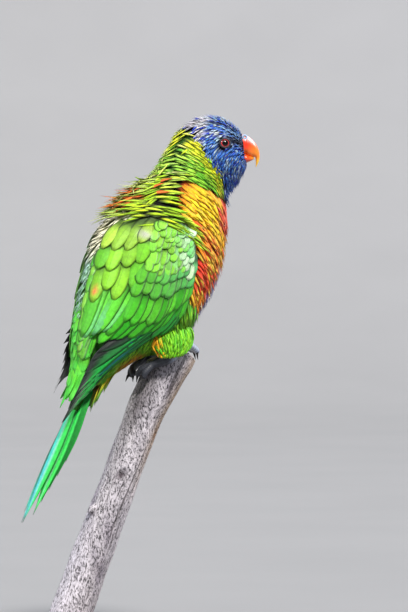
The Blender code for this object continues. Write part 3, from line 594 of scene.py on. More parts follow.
def webbed(group, outer, inner, edge, shaft=-0.4, share=0.5, root="#06240a", bare=0.66, edge_at=0.86):
    """Colours of a quill feather: outer web towards the belly, inner web towards the back, and their edges.

    inner is a colour, or the share of the outer web's colour that the inner web keeps. share is how much
    of the edge's colour shows. root is painted shade, along the inner edge where the next feather lies over
    it and over the covered root.
    """
    u, t = group["u"], group["t"]
    outer = per_feather(outer)
    inner = linear(inner) if isinstance(inner, str) else outer * inner
    return layered(
        mixed(inner, outer, smooth(u, shaft - 0.25, shaft + 0.15)),
        (edge, share * smooth(u, edge_at, 1.0)),
        # painted shade: the root's colour along the inner edge and over the covered root
        (root, 0.75 * smooth(u, -0.5, -1.0)),
        (root, 0.85 * smooth(t, bare, bare - 0.3)),
    )


# Skin

WING_FRONT = [(10.35, -86), (10.0, -97), (9.3, -108), (8.5, -117), (7.7, -122), (7.2, -121)]
WING_BACK = [(10.4, -82), (9.9, -64), (9.2, -42), (8.55, -22), (7.7, -24), (7.0, -40)]


def make_skin():
    """One mesh of the body's closed tube, two thigh tubes and two wing pads, sunk by the coat's depth.

    Each wing pad is the patch of the body between the wing's front and back lines, swollen by up to
    2.2 mm at its middle, with a flat underside. All of it is coloured dark as painted shade that shows
    between the feathers.
    """
    points, colours, bake, faces, start = [], [], [], [], 0

    def tube(surface, rows, columns, k_span, side, depth, colour_of, place_of):
        """Adds a closed tube, moved off the surface by depth, and returns where the next piece starts."""
        k, a = np.linspace(*k_span, rows)[:, None], np.linspace(-180, 180, columns, endpoint=False)
        k, a = np.broadcast_arrays(k, a)
        points.append((raised(surface, k, a, depth(k)) * (1, side, 1)).reshape(-1, 3))
        colours.append(colour_of(k, a).reshape(-1, 3))
        bake.append(place_of(k, a))
        faces.extend(flipped(tube_faces(rows, columns, start), side > 0))
        return start + rows * columns

    start = tube(
        body, 190, 96, (SKIN_END, FACE - 0.05), 1,
        lambda k: np.interp(k, [SKIN_END, 4.6, 6], [-4.6, -1.6, -SKIN_DEPTH]),
        # the plumage's colours at 0.55: painted shade between the feathers
        lambda k, a: base_colour(k, a) * 0.55,
        lambda k, a: pairs((a / 360 + 0.5) % 1, k / UNWRAP_SECTIONS),
    )
    for side in (1, -1):
        left = 0.02 if side > 0 else 0.14
        start = tube(
            thigh, 24, 36, (0, 4), side,
            lambda k: 0 * k - SKIN_DEPTH,
            # dark green: painted shade under the thigh's feathers
            lambda k, a: np.broadcast_to(linear("#2f6a0c"), k.shape + (3,)),
            lambda k, a: pairs(left + 0.1 * (a / 360 + 0.5), 0.02 + k / 60),
        )
    rows, columns = 40, 24
    front, back = along(WING_FRONT, rows), along(WING_BACK, rows)
    share = np.linspace(0, 1, columns)[None, :]
    k, a = np.moveaxis(front[:, None] * (1 - share[..., None]) + back[:, None] * share[..., None], -1, 0)
    ends = np.linspace(0, 1, rows)[:, None]
    crown = np.sqrt(4 * share * (1 - share) * np.clip(6 * ends * (1 - ends), 0, 1))
    grid = np.arange(rows * columns).reshape(rows, columns)
    edge = np.concatenate([grid[0], grid[1:, -1], grid[-1, -2::-1], grid[-2:0:-1, 0]])
    after = np.roll(edge, -1)
    quads = grid_faces(rows, columns)
    rim = np.stack([edge, edge + grid.size, after + grid.size, after], -1)
    for side in (1, -1):
        for lift in (0.2 + 2.2 * crown, -0.6 + 0 * crown):
            points.append((raised(body, k, a, lift) * (1, side, 1)).reshape(-1, 3))
            # dark green: painted shade under the wing's feathers
            colours.append(np.broadcast_to(linear("#1d6a1c"), (grid.size, 3)))
            bake.append(pairs((side * a / 360 + 0.5) % 1, k / UNWRAP_SECTIONS))
        pad = [quads + start, quads[:, ::-1] + grid.size + start, rim + start]
        faces.extend(flipped(pad, side < 0))
        start += 2 * grid.size
    return mesh_object(
        "skin", np.concatenate(points), faces, np.concatenate(colours), None, np.concatenate(bake) % 1
    )


# Coat of the body


def eye_centre(side):
    """Centre of an eyeball and the way the eye looks."""
    k, a = np.array(EYE_PLACE[0]), np.array(EYE_PLACE[1] * side)
    look = slopes(body, k, a)[2]
    return body(k, a) - look * EYE_SUNK, look


def away_from_eyes(places, reach):
    """Which places lie at least reach from both eyes' middles, and a little more ahead of them."""
    points = body(places[:, 0], places[:, 1])
    clear = np.ones(len(places), bool)
    ahead = smooth(places[:, 0], EYE_PLACE[0] - 0.2, EYE_PLACE[0] + 0.5)
    for side in (1, -1):
        centre, look = eye_centre(side)
        clear &= np.linalg.norm(points - (centre + look * EYE_SUNK), axis=-1) > reach + 0.9 * ahead
    return clear


def make_mantle():
    """Long loose hackles of the mantle, black at the root as painted shade between them, and lime at the tip.

    They part to the back and to the shoulder, and more of them bridge the parting, down the back.
    """
    places = scatter((10.0, 12.75), (-94, 94), 3.4, 2.15)
    places = places[folded(places[:, 1]) < breast_edge(places[:, 0]) + 5]
    k, side = places[:, 0], folded(places[:, 1])
    parting = np.interp(k, [10.0, 10.5, 11.2, 12.0, 12.8], [56, 44, 28, 24, 24]) + DRAW.normal(0, 13, len(k))
    forward = side > parting
    to_shoulder = np.interp(side, [20, 60, 80, 100], [14, 26, 38, 46])
    heading = np.where(forward, to_shoulder, np.interp(k, [10, 11.5, 12.8], [166, 182, 176]))
    tips = headed(places, 13.0, heading)
    kept = ~forward | (folded(tips[:, 1]) < breast_edge(tips[:, 0]) + 7)
    more = scatter((10.7, 12.6), (-44, 44), 3.0, 2.0, lambda k, a: a > 12)
    places = np.concatenate([places[kept], more])
    forward = np.concatenate([forward[kept], np.zeros(len(more), bool)])
    heading = np.concatenate([heading[kept], 150 + DRAW.normal(0, 16, len(more))])
    k, side, count = places[:, 0], folded(places[:, 1]), len(places)
    orange = bell(k, 11.15, 0.5) * bell(places[:, 1], -14, 14) > DRAW.uniform(0.2, 0.5, count)
    stand = np.where(forward, 0.15, smooth(side, 45, 15))
    high = smooth(k, 12.9, 11.8) * stand
    over_wing = smooth(k, 11.0, 10.4) * smooth(side, 22, 40)
    tip_lift = 1.2 + (7.6 + DRAW.normal(0, 2.6, count)) * high + 4.2 * over_wing
    lifts = (-1.1 + 1.5 * over_wing, 0.6 + 2.6 * high + 3.0 * over_wing, tip_lift)
    group = plumes(places, 14.5 + 4.5 * high, 0.95 + 0.5 * orange, lifts, heading=heading, ragged=0.1)
    draw = chance(count)
    colour = layered(
        mixed("#9cdc10", "#e0fa1e", draw),
        ("#f6faa8", smooth(side, 40, 14) * DRAW.uniform(0.3, 1, count)),
        ("#f0ea00", smooth(side - breast_edge(k), -14, -2) * (draw > 0.3)),
        ("#ff7c28", orange),
    )
    bare = 0.5 - 0.22 * bell(side, 26, 14)
    # the near-black root colour and rim are painted shade between the hackles
    return group, shaded(group, uneven(colour, 0.2, 0.05), "#040602", bare[:, None, None], 1.0, 0.55)


def make_neck_coat():
    """Feathers of the collar and neck: back at the nape, and slanting down to the throat at the sides."""
    places = scatter((12.6, 15.8), (-180, 180), 3.2, 1.2)
    side = folded(places[:, 1])
    places = places[places[:, 0] < head_edge(side) + 0.4 * smooth(side, 130, 100)]
    k, side = places[:, 0], folded(places[:, 1])
    back = side < np.interp(k, [12.6, 15.2], [34, 24]) + DRAW.normal(0, 16, len(k))
    near = smooth(k - head_edge(side), -0.9, 0.0)
    heading = np.interp(side, [25, 60, 90, 120, 180], [24, 36, 46, 62, 96]) + 10 * near
    heading = np.where(back, np.interp(k, [12.6, 15.2], [186, 160]), heading)
    tip_k, tip_a = headed(places, 9.0, heading).T
    kept = (back | (tip_k > 12.5) | (folded(tip_a) < 56)) & (tip_k < head_edge(folded(tip_a)) + 0.12)
    places, back, heading = places[kept], back[kept], heading[kept]
    k, side = places[:, 0], folded(places[:, 1])
    stand = np.where(back, smooth(side, 60, 20), 0.1)
    lifts = (-0.9, 0.4 + 0.4 * stand, 0.8 + 1.5 * stand)
    length = 11.5 - 2.5 * smooth(side, 118, 150)
    group = plumes(places, length, 0.9, lifts, heading=heading, ragged=0.1)
    draw = chance(len(places))
    green = layered(
        mixed("#5cc41c", "#a8ec3c", draw),
        ("#e4f860", smooth(side, 66, 34) * 0.8 * draw),
        ("#1c3812", smooth(side, 98, 122) * (0.5 + 0.5 * (draw > 0.3))),
    )
    band = smooth(k - head_edge(side), -1.2 - 0.5 * draw, -0.55) * smooth(side, 126, 104)
    colour = layered(
        green,
        (mixed("#e4f808", "#ffff30", draw), band * np.where(draw > 0.1, 1, 0.25)),
        ("#eef4b0", smooth(side, 28, 6) * 0.7 * draw),
        ("#a4a6cc", smooth(side, 108, 132) * smooth(k, 13.3, 12.9) * (draw > 0.55)),
    )
    # the dark green root colour and rim are painted shade between the feathers
    return group, shaded(group, uneven(colour, 0.24, 0.08), "#245a10", 0.48, 0.9, 0.42)


def make_head_coat():
    """Narrow pointed feathers of the head, smallest at the bill, in streaks of three blues over navy painted
    shade.

    The crown is lilac behind, a pale brow runs over each eye, and the lore and the stripe beside the
    crown are black.
    """
    places = scatter((13.15, 19.75), (-180, 180), 2.0, 1.25, lambda k, a: k > head_edge(a))
    places = places[away_from_eyes(places, 3.3)]
    k, side = places[:, 0], folded(places[:, 1])
    length = np.interp(k, [13, 15.5, 17.5, 19.8], [6.6, 6.6, 4.6, 2.4])
    length = length + 2.0 * smooth(side, 60, 30) * smooth(k, 17.5, 15.5)
    tip_k, tip_a = swept(places, length, 6 * smooth(side, 60, 110)).T
    inside = (tip_k > head_edge(folded(tip_a)) - 0.12) | (side > 140)
    places, side, k, length = places[inside], side[inside], k[inside], length[inside]
    count = len(k)
    half = np.interp(k, [13, 16, 18.5, 19.8], [0.95, 0.82, 0.6, 0.42])
    throat = smooth(side, 110, 150)
    stand = np.interp(k, [13, 15.5, 18], [1.7, 1.7, 0.6]) * (0.7 + 0.4 * throat + 0.6 * smooth(side, 50, 20))
    stand = stand * DRAW.uniform(0.6, 1.5, count)
    group = plumes(places, length, half, (-0.8, 0.1, stand), 6 * smooth(side, 60, 110), outline="hair")
    draw = chance(count)
    blues = (("#1f3cd0", "#2c5cf0"), ("#3478ff", "#5aa6ff"), ("#86beff", "#d8eeff"))
    dark, middle, pale = (mixed(*ends, chance(count)) for ends in blues)
    limit = np.interp(side, [0, 32, 60, 78], [17.3, 17.3, 16.5, 15.4])
    lilac = smooth(k, limit + 0.3, limit - 0.4) * smooth(side, 96, 78)
    brow = bell(side, 66 + 13 * (k - 17.0), 7) * smooth(k, 16.5, 16.9) * smooth(k, 18.1, 17.7)
    lore = smooth(k, 17.3, 17.8) * bell(side, 87, 12)
    stripe = bell(side, 42 + 9 * (k - 17.4), 5) * smooth(k, 16.9, 17.3) * smooth(k, 19.2, 18.8)
    colour = layered(
        pale,
        (middle, draw < 0.72),
        (dark, draw < 0.25),
        (mixed("#e4e0fa", "#ffffff", draw), lilac * (draw > 0.16)),
        ("#e8f2ff", 0.95 * brow * (draw > 0.2)),
        ("#8cc0f8", 0.8 * bell(side, 65, 6) * smooth(k, 17.8, 18.2)),
        ("#2c44c8", throat * 0.25),
        ("#07090f", np.clip(0.95 * lore + 0.9 * stripe, 0, 1)),
    )
    # the navy root colour and rim are painted shade between the streaks
    return group, shaded(group, uneven(colour, 0.18, 0.05), "#060a2c", 0.5, 0.95, 0.55)


def make_breast():
    """Strands of the breast and belly: yellow beside the shoulder, red in front, violet-blue below."""
    places = scatter((7.5, 12.85), (-180, 180), 4.4, 1.3, lambda k, a: a > breast_edge(k))
    k, side, count = places[:, 0], folded(places[:, 1]), len(places)
    heading = np.interp(side, [60, 120, 160, 180], [44, 50, 62, 88]) + 14 * smooth(k, 9.6, 8.0)
    broad = smooth(k, 10.5, 10.9)
    lifts = (-0.9, 0.7, 2.0 + 1.0 * smooth(side, 120, 150) - 0.8 * broad)
    group = plumes(places, 14.5, 1.25 + 0.45 * broad, lifts, heading=heading, ragged=0.12)
    draw = chance(count)
    shift = (draw - 0.5) * 12
    fray = k + 0.03 * shift
    yellow = mixed("#ffe018", "#ffac08", chance(count) ** 1.6)
    coral, orange, red = (
        mixed(*ends, chance(count))
        for ends in (("#ff8266", "#ff4a34"), ("#ff9a20", "#ff5816"), ("#ff5a28", "#f43016"))
    )
    belly = smooth(side + shift * 0.6, 136, 147) * smooth(k, 10.5, 9.9)
    colour = layered(
        yellow,
        (coral, smooth(side + shift, 108, 118) * smooth(k, 11.3, 11.7)),
        (coral, smooth(k, 12.55, 12.75) * smooth(side, 72, 84)),
        (orange, smooth(fray, 10.95, 10.7)),
        (red, smooth(fray, 10.0, 9.6)),
        ("#ffd23c", (draw > np.where(k < 9.6, 0.8, 0.6)) & (k < 10.9)),
        (mixed("#ff8a14", "#ffd020", draw), smooth(k + 0.02 * shift, 8.9, 8.5)),
        ("#8fce1c", smooth(fray, 8.3, 7.9) * (draw > 0.3)),
        (mixed("#5c5ec8", "#e8e4fa", draw), belly),
    )
    colour = uneven(colour, 0.18, 0.06)
    tips = layered(colour, ("#ffc030", 0.35 * (1 - belly) * smooth(k, 11, 10.5)), ("#ece8fc", 0.7 * belly))
    # root: each strand's colour darkened and reddened, painted shade in the gaps between the strands
    root = mixed(colour * (0.85, 0.38, 0.12), "#2a1450", 0.6 * belly)
    return group, shaded(group, colour, root, 0.42, 0.85, 0.2, tips, 0.72)


def make_back():
    """Feathers of the back and rump between the wings, with a painted highlight on the ridge of the back:
    pale tips and cream-coloured feathers where light rims it.
    """
    places = scatter(
        (6.5, 10.4), (-64, 64), 2.8, 2.3, lambda k, a: a < np.interp(k, [6.5, 8.5, 10.3], [26, 34, 60])
    )
    k, side = places[:, 0], folded(places[:, 1])
    ridge = smooth(side, 26, 8)
    lifts = (-1.2, 0.8, 1.6 + (1.4 + 2.2 * smooth(k, 8.2, 9.2)) * ridge)
    group = plumes(places, 13.5, 1.9, lifts, columns=5, ragged=0.1)
    draw = chance(len(places))
    colour = mixed("#3fae1c", "#8cd03a", draw)
    # painted highlight where light rims the back's ridge: pale tips along it and cream-coloured feathers
    pale = mixed("#c8f0e6", "#f0eebc", smooth(k, 8.6, 9.3))
    cream = 0.9 * smooth(side, 44, 24) * smooth(k, 8.1, 8.8)
    tips = layered(
        colour,
        (pale, ridge * smooth(k, 5.6, 6.4) * (0.45 + 0.55 * draw)),
        ("#b4e454", 0.4 * (1 - ridge)),
        ("#fff8dc", cream),
    )
    colour = uneven(mixed(colour, "#ece8b4", cream), 0.15, 0.06)
    # the dark root colour and rim are painted shade between the feathers
    return group, shaded(group, colour, "#12300c", 0.45, 0.85, 0.3, tips, 0.55)


def make_rump():
    """Long coverts over the root of the tail."""
    places = scatter((4.3, 7.1), (-46, 46), 6.0, 4.2)
    options = {"outline": "covert", "columns": 7, "camber": 0.04, "ragged": 0.04}
    group = plumes(places, 23, 3.9, (-0.8, 1.6, 2.0), -4, **options)
    colour = uneven(mixed("#2fae20", "#66cc2c", chance(len(places))), 0.12, 0.05)
    # the dark root colour is painted shade between the coverts
    return group, shaded(group, colour, "#0f3a10", 0.3, 0.7, 0.0, mixed(colour, "#4ccf4a", 0.5), 0.6)


def make_vent():
    """Feathers of the flanks, belly and vent, and the long coverts under the tail."""
    places = scatter(
        (4.3, 8.3), (-180, 180), 2.3, 1.8,
        lambda k, a: a > np.interp(k, [4.3, 6, 7, 8.3], [84, 112, 122, 112]),
    )
    k, side = places[:, 0], folded(places[:, 1])
    heading = np.interp(k, [4.3, 5.6, 6.4, 8.3], [124, 124, 100, 88])
    hang = smooth(k, 6.6, 7.2) * smooth(side, 112, 126)
    flat = smooth(k, 6.6, 5.9)
    lifts = (-1.1, 0.6 + 1.0 * hang - 0.7 * flat, 1.4 + 3.4 * hang - 1.2 * flat)
    group = plumes(places, 11.0 + 3 * hang - 3 * flat, 1.4, lifts, heading=heading, ragged=0.14)
    draw = chance(len(places))
    rusty = smooth(k, 6.5, 6.1) * smooth(k, 4.9, 5.3) * smooth(side, 118, 140)
    belly = smooth(side, 150, 162) * smooth(k, 7.2, 7.6)
    colour = layered(
        mixed("#3fb010", "#86d41e", draw),
        (mixed("#e8b810", "#a83a1a", draw), rusty),
        (mixed("#4a4cb4", "#d0cdf0", draw), belly),
    )
    colour = uneven(colour, 0.15, 0.06)
    tips = mixed(colour, "#c8e820", 0.4 * (1 - belly))
    # the dark root colour and rim are painted shade between the feathers
    first = shaded(group, colour, "#16360a", 0.5, 0.8, 0.4, tips)
    places = scatter((3.7, 4.9), (-180, 180), 3.4, 2.6, lambda k, a: a > 140)
    under = plumes(places, 14, 2.0, (-1.0, 0.8, 2.4), outline="covert", columns=5, camber=0.06)
    colour = uneven(mixed("#e8c818", "#a4cc1c", chance(len(places))), 0.12, 0.06)
    second = shaded(under, colour, "#a8401c", 0.4, 0.8, 0.3, mixed(colour, "#2fb02c", 0.85), 0.55)
    return (group, first), (under, second)


def make_thigh(mirror):
    """Long loose feathers hanging down round one thigh, yellow to orange behind."""
    places = scatter((0.9, 4.0), (-180, 180), 4.2, 1.15, None, thigh)
    k = places[:, 0]
    length = np.interp(k, [0.9, 2.0, 3.0, 4.0], [4.4, 9.5, 13.5, 16.0])
    options = {"outline": "hair", "surface": thigh, "mirror": mirror, "ragged": 0.12}
    group = plumes(places, length, 0.95, (-0.8, 0.35, 0.3), **options)
    draw = chance(len(places))
    behind = smooth(folded(places[:, 1]), 62, 34) * (draw > 0.25)
    colour = mixed(mixed("#54be10", "#94e21c", draw), mixed("#ffd010", "#ff9410", draw), behind)
    tips = mixed(colour, "#dcec1c", smooth(k, 2.2, 0.9) * 0.85)
    # the green root colour and rim are painted shade between the feathers
    return group, shaded(group, uneven(colour, 0.15, 0.06), "#2c7a0a", 0.4, 0.6, 0.08, tips)


# Wings and tail

# Rows of the wing: root line, tip line, count, half width, lifts, tilt, bow, outline, columns.
WING_ROWS = {
    "primaries": (
        [(7.8, -120), (7.8, -108), (7.4, -96)],
        [(2.0, -49), (2.9, -52), (3.9, -57), (5.0, -64)],
        9, 4.6, (1.6, 2.2, 2.2), 0.2, -16.0, "primary", 7,
    ),
    "secondaries": (
        [(8.3, -110), (8.1, -96), (7.9, -80)],
        [(7.35, -123), (6.6, -108), (6.0, -90), (5.55, -62)],
        10, 4.4, (1.9, 2.8, 2.9), 0.17, -2.0, "flight", 7,
    ),
    "tertials": (
        [(8.4, -74), (8.15, -34)],
        [(5.9, -64), (5.3, -30)],
        7, 4.9, (2.2, 3.3, 3.3), 0.1, 0.0, "covert", 7,
    ),
    "primary_coverts": (
        [(8.2, -119), (8.0, -112)],
        [(6.9, -124), (6.5, -116)],
        4, 2.6, (2.0, 3.0, 3.0), 0.14, -3.0, "covert", 5,
    ),
    "greater_coverts": (
        [(8.95, -106), (8.75, -94), (8.5, -82), (8.15, -68)],
        [(7.9, -117), (7.25, -110), (6.8, -98), (6.5, -76)],
        10, 4.3, (2.2, 3.6, 3.8), 0.17, -1.0, "covert", 7,
    ),
}
# Two rows of median coverts, from the lower up, with their bluest share.
MEDIAN_ROWS = (
    (
        [(9.2, -103), (9.0, -91), (8.75, -79), (8.5, -66)],
        [(8.35, -111), (7.85, -101), (7.55, -90), (7.35, -72)],
        8, 4.4, (2.4, 4.0, 4.4), 0.55,
    ),
    (
        [(9.55, -100), (9.3, -89), (9.0, -78), (8.75, -64)],
        [(8.8, -107), (8.3, -97), (7.95, -86), (7.75, -70)],
        8, 4.3, (2.5, 4.2, 4.8), 0.8,
    ),
)
# Rows of scapulars over the wing's root, from the tertials up to the mantle.
SCAPULAR_ROWS = (
    ([(9.1, -60), (8.7, -44), (8.35, -28)], [(7.35, -66), (7.0, -48), (6.7, -30)], 4, 5.4, (2.0, 3.6, 3.9)),
    ([(9.7, -58), (9.3, -42), (8.9, -26)], [(8.15, -64), (7.8, -46), (7.45, -26)], 4, 5.6, (1.4, 3.9, 4.4)),
    (
        [(10.4, -66), (10.15, -48), (9.8, -28)],
        [(8.95, -64), (8.6, -46), (8.3, -24)],
        5, 4.6, (-0.8, 3.6, 4.6),
    ),
)
# The lines of roots that the seven rows of lesser coverts run between.
LESSER_TOP = np.array([(10.55, -88), (10.45, -80), (10.35, -70), (10.2, -58)])
LESSER_LOW = np.array([(9.5, -101), (9.25, -90), (9.05, -79), (8.85, -68)])
# The roots along the back edge of the wing.
REAR = np.array([(8.7, -20), (7.9, -20), (7.1, -22), (6.3, -24)])
# Two greens and how uneven they are, then the rest of webbed's values; the dark root colours among them are
# painted shade.
WING_GREENS = {
    "secondaries": ("#249c14", "#4cc420", 0.12, 0.62, "#58d03c", -0.3, 0.5, "#06240a", 0.5),
    "tertials": ("#3cac1c", "#62cc34", 0.14, 0.7, "#6cd84c", -0.3, 0.4, "#08280a", 0.55),
    "greater_coverts": ("#34ac18", "#5ccc2c", 0.14, 0.78, "#84e058"),
}
# The left wing's quill tips are lifted off the tail, and cross it a little shorter and nearer the back.
LEFT_TIP_SHIFT = (0.6, 20)
LEFT_TIP_LIFTS = (0, 2.8, 5.4)


def wing_row(roots, tips, count, half, lifts, tilt, bow, outline, columns, mirror, wander=0.06):
    """One row of the wing, spread evenly from front to back, the feathers' lengths wandering a little."""
    root = along(roots, count)
    tip = along(tips, count)
    tip = tip + (tip - root) * DRAW.uniform(-wander, wander, (count, 1))
    tip[:, 1] += DRAW.normal(0, 1.2, count)
    lift = np.asarray(lifts) + DRAW.normal(0, 0.12, (count, 3)) * (0.4, 1, 1.4)
    half = half * DRAW.uniform(0.92, 1.08, count)
    options = {"bow": bow, "tilt": tilt, "camber": 0.012, "thick": 0.3, "ragged": 0.03, "mirror": mirror}
    return lay(root, tip, half, lift, outline, columns, **options)


def primary_colour(group, mirror):
    """Green outer webs, grey inner ones and dark tips, every fourth quill with some blue on its edge."""
    u, t = group["u"], group["t"]
    number = np.arange(len(u))[:, None, None]
    green = uneven(mixed("#14a03a", "#1fc04a", chance(len(u))), 0.08)
    blue = smooth(u, 0.6, 0.85) * smooth(t, 0.3, 0.45) * smooth(t, 0.75, 0.6) * (number % 4 == 2)
    inmost = smooth(number, 3.5, 6.0) * smooth(u, 0.95, 0.6) * smooth(t, 0.35, 0.5)
    return layered(
        # webbed's dark root colour here is painted shade between the quills
        webbed(group, green, "#2c2f33", "#0a3014", 0.05, 0.7, "#08140c", 0.25),
        ("#2f93d8", 0.75 * blue),
        ("#2a2c2f", 0.95 * inmost),
        ("#16211b", smooth(t, 0.6, 0.85) * smooth(u, 0.85, 0.4)),
        ("#16211b", 0.9 * smooth(t, 0.84, 0.97)),
        ("#131416", 0.95 * mirror * smooth(t, 0.4, 0.6)),
    )


def make_wing(side):
    """Feathers of one wing, from the quills below to the small coverts on top, and their colours."""
    mirror = side < 0
    laid = {}
    for row, (roots, tips, count, half, lifts, *rest) in WING_ROWS.items():
        if row == "primaries" and mirror:
            tips, lifts = np.add(tips, LEFT_TIP_SHIFT), np.add(lifts, LEFT_TIP_LIFTS)
        laid[row] = wing_row(roots, tips, count, half, lifts, *rest, mirror)
    made = []
    for row, group in laid.items():
        if row == "primaries":
            colour = primary_colour(group, mirror)
        elif row == "primary_coverts":
            # the dark root colour given to webbed here is painted shade between the feathers
            colour = webbed(group, "#1f9a2c", "#156a20", "#0b3d10", 0.0, 0.7, "#0c2a0c", 0.25, 0.82)
        else:
            first, second, spread, *webs = WING_GREENS[row]
            green = uneven(mixed(first, second, chance(len(group["u"]))), spread)
            colour = webbed(group, green, *webs)
        if row == "tertials":
            bluish = (np.arange(len(group["u"])) % 2 == 1)[:, None, None]
            colour = mixed(colour, "#7fd0a8", 0.35 * smooth(group["t"], 0.5, 0.75) * bluish)
        made.append((group, colour))

    for roots, tips, count, half, lifts, bluest in MEDIAN_ROWS:
        group = wing_row(roots, tips, count, half, lifts, 0.15, 0.0, "scale", 7, mirror)
        green = uneven(mixed("#5abc28", "#56b070", np.linspace(1, 0, count) * bluest), 0.16, 0.06)
        # the dark root colour is painted shade between the coverts
        made.append((group, webbed(group, green, 0.82, "#a4e496", root="#06240c")))

    for number, share in enumerate(np.linspace(1, 0, 7)):
        roots = LESSER_TOP * (1 - share) + LESSER_LOW * share
        count = 8 + (number + 1) % 2
        near_top = smooth(share, 0.4, 0)
        lift = (2.4 - 3.0 * near_top, 4.2 - 0.8 * near_top, 5.0)
        shifted = roots + (0, (number % 2) * 4)
        half = 3.2 - 0.06 * number
        group = wing_row(shifted, roots - (0.72, 6), count, half, lift, 0.2, 0.0, "scale", 7, mirror, 0.3)
        front = np.linspace(1, 0, count)
        draw = chance(count)
        green = layered(
            mixed("#80d038", "#74c888", smooth(front + 0.5 * draw, 0.6, 1.4)),
            # painted sheen: whitish green over the front rows
            ("#cdeec0", smooth(front, 0.45, 0.9) * (draw > 0.4) * 0.7),
        )
        # the pale edge colour is a painted sheen, and the dark root colour painted shade
        webs = webbed(group, uneven(green, 0.2, 0.08), 0.8, "#d4f4c4", -0.4, 0.6, "#041806", 0.6, 0.8)
        made.append((group, webs))

    for number, (roots, tips, count, half, lifts) in enumerate(SCAPULAR_ROWS):
        group = wing_row(roots, tips, count, half, lifts, 0.06, 0.0, "covert", 7, mirror, 0.12)
        green = mixed("#52b41c", "#8cd02c", chance(count))
        green = uneven(mixed(green, "#b0cc48", 0.5 if number == 2 else 0.0), 0.14, 0.06)
        # the dark root colour is painted shade between the scapulars
        made.append((group, webbed(group, green, 0.85, "#a4dc5c", 0.0, 0.45, "#0a240a", 0.6)))

    # narrow feathers along the back edge of the wing: pale edges as painted highlight where light rims the
    # back, and a dark root colour as painted shade
    for number in range(4):
        roots = REAR - (0.22 * number, 5 * number)
        tips = roots + (-1.15, 3)
        group = wing_row(roots, tips, 7, 2.6, (1.2, 2.6, 3.0), 0.05, 0.0, "covert", 5, mirror, 0.15)
        green = uneven(mixed("#4fb428", "#84cc40", chance(7)), 0.12, 0.05)
        share = 0.6 if number < 2 else 0.3
        made.append((group, webbed(group, green, 0.9, "#c8ecd0", 0.0, share, "#203c10", 0.25, 0.8)))

    # the right wing alone shows an orange feather and a tuft of grey down
    spots = () if mirror else ((6.95, -31, 3.5, "#ff6250"), (9.25, -56, 6.0, "#b8b4b4"))
    for k, a, width, code in spots:
        made = [
            (group, mixed(colour, code, 0.9 * bell(group["k"], k, 0.13) * bell(group["a"], a, width)))
            for group, colour in made
        ]
    return made


def make_tail():
    """Twelve long tapered feathers, the middle pair on top.

    They are green on the tail's right and turquoise on its left, with a pale shaft and a dark rim.
    """
    made = []
    for pair, length in enumerate(TAIL_LENGTHS):
        for side in (1, -1):
            level = 1.6 - 0.85 * pair + (0.85 if pair == 0 and side > 0 else 0)
            half = 5.0 * (1 - 0.04 * pair)
            middle = 1.2 if pair == 0 else half + 0.25 + 1.2 * (pair - 1)
            root, tip = (6.0, side * min(middle, 4.0)), (length, side * middle)
            options = {"thick": 0.35, "camber": 0.01, "ragged": 0.02}
            group = lay([root], [tip], [half], (level, level, level), "tail", 7, tail_plane, **options)
            place, u, t = group["a"], group["u"], group["t"]
            colour = layered(
                mixed("#24cc48", "#34d4b0", smooth(place, 3.0, -2.0)),
                ("#4fb4e4", 0.6 * bell(place, 0, 1.7) * smooth(t, 0.2, 0.6)),
                ("#0c4424", 0.75 * smooth(np.abs(u), 0.8, 1.0)),
                ("#b4f0dc", 0.5 * bell(u, 0, 0.16)),
                ("#5a7a6c", smooth(t, 0.92, 1.0)),
            )
            made.append((group, uneven(colour, 0.08)))
    return made


# Bill, eyes and feet

# culmen x and z, lower edge x and z, half width, in the head's own unturned plane
UPPER_BILL = np.array(
    [
        (82.1, 332.0, 82.9, 319.4, 6.0),
        (85.2, 330.2, 83.9, 318.6, 5.7),
        (88.3, 327.1, 86.0, 318.0, 4.8),
        (90.5, 323.3, 88.1, 317.8, 3.6),
        (91.4, 319.2, 88.8, 317.0, 2.2),
        (91.0, 315.4, 89.0, 314.8, 1.3),
        (89.3, 311.6, 89.0, 311.5, 0.3),
    ]
)
LOWER_BILL = np.array(
    [
        (83.0, 319.8, 83.3, 314.3, 5.2),
        (84.2, 319.1, 85.1, 314.9, 4.3),
        (86.3, 318.5, 86.8, 315.8, 2.8),
        (87.7, 318.0, 87.8, 316.3, 1.4),
    ]
)


def make_bill(name, table, rows, sides, colour_of):
    """Half of the bill: a rounded section swept along its table, with growth ridges, and a sunk root.

    colour_of takes the place along the bill, and the height in its section from 0 to 1.
    """
    k = np.linspace(-0.35, len(table) - 1, rows)[:, None]
    upper_x, upper_z, lower_x, lower_z, width = np.moveaxis(spline(table, np.maximum(k, 0)), -1, 0)
    a = circle(sides)[None, :]
    up = (1 + np.cos(a)) / 2
    x = lower_x + (upper_x - lower_x) * up + np.minimum(k, 0) * 6
    z = lower_z + (upper_z - lower_z) * up
    ridge = 1 + 0.006 * np.sin(k * 9)
    y = width * ridge * np.sign(np.sin(a)) * np.abs(np.sin(a)) ** 0.8
    k, height = np.broadcast_arrays(k, up)
    bake = pairs(a / UNWRAP_TURN, k / len(table) * 0.9 + 0.06)
    faces = flipped(tube_faces(rows, sides))
    return mesh_object(name, turned(x, y, z, 1.0), faces, colour_of(k, height), None, bake)


def upper_bill_colour(k, height):
    """Orange-red, yellow at the point, with a painted pinkish-white highlight along the top near the root,
    and a paler cutting edge.
    """
    return layered(
        mixed("#f2381c", "#ff8a24", smooth(k - 2.2 * height, -0.9, 2.2)),
        ("#ffca30", smooth(k, 3.8, 5.2)),
        # painted highlight: pinkish white along the top of the bill near its root
        ("#ffd8dc", 0.85 * smooth(height, 0.66, 0.95) * smooth(k, 3.0, 0.6)),
        ("#ff8a28", 0.7 * smooth(height, 0.4, 0.12)),
    )


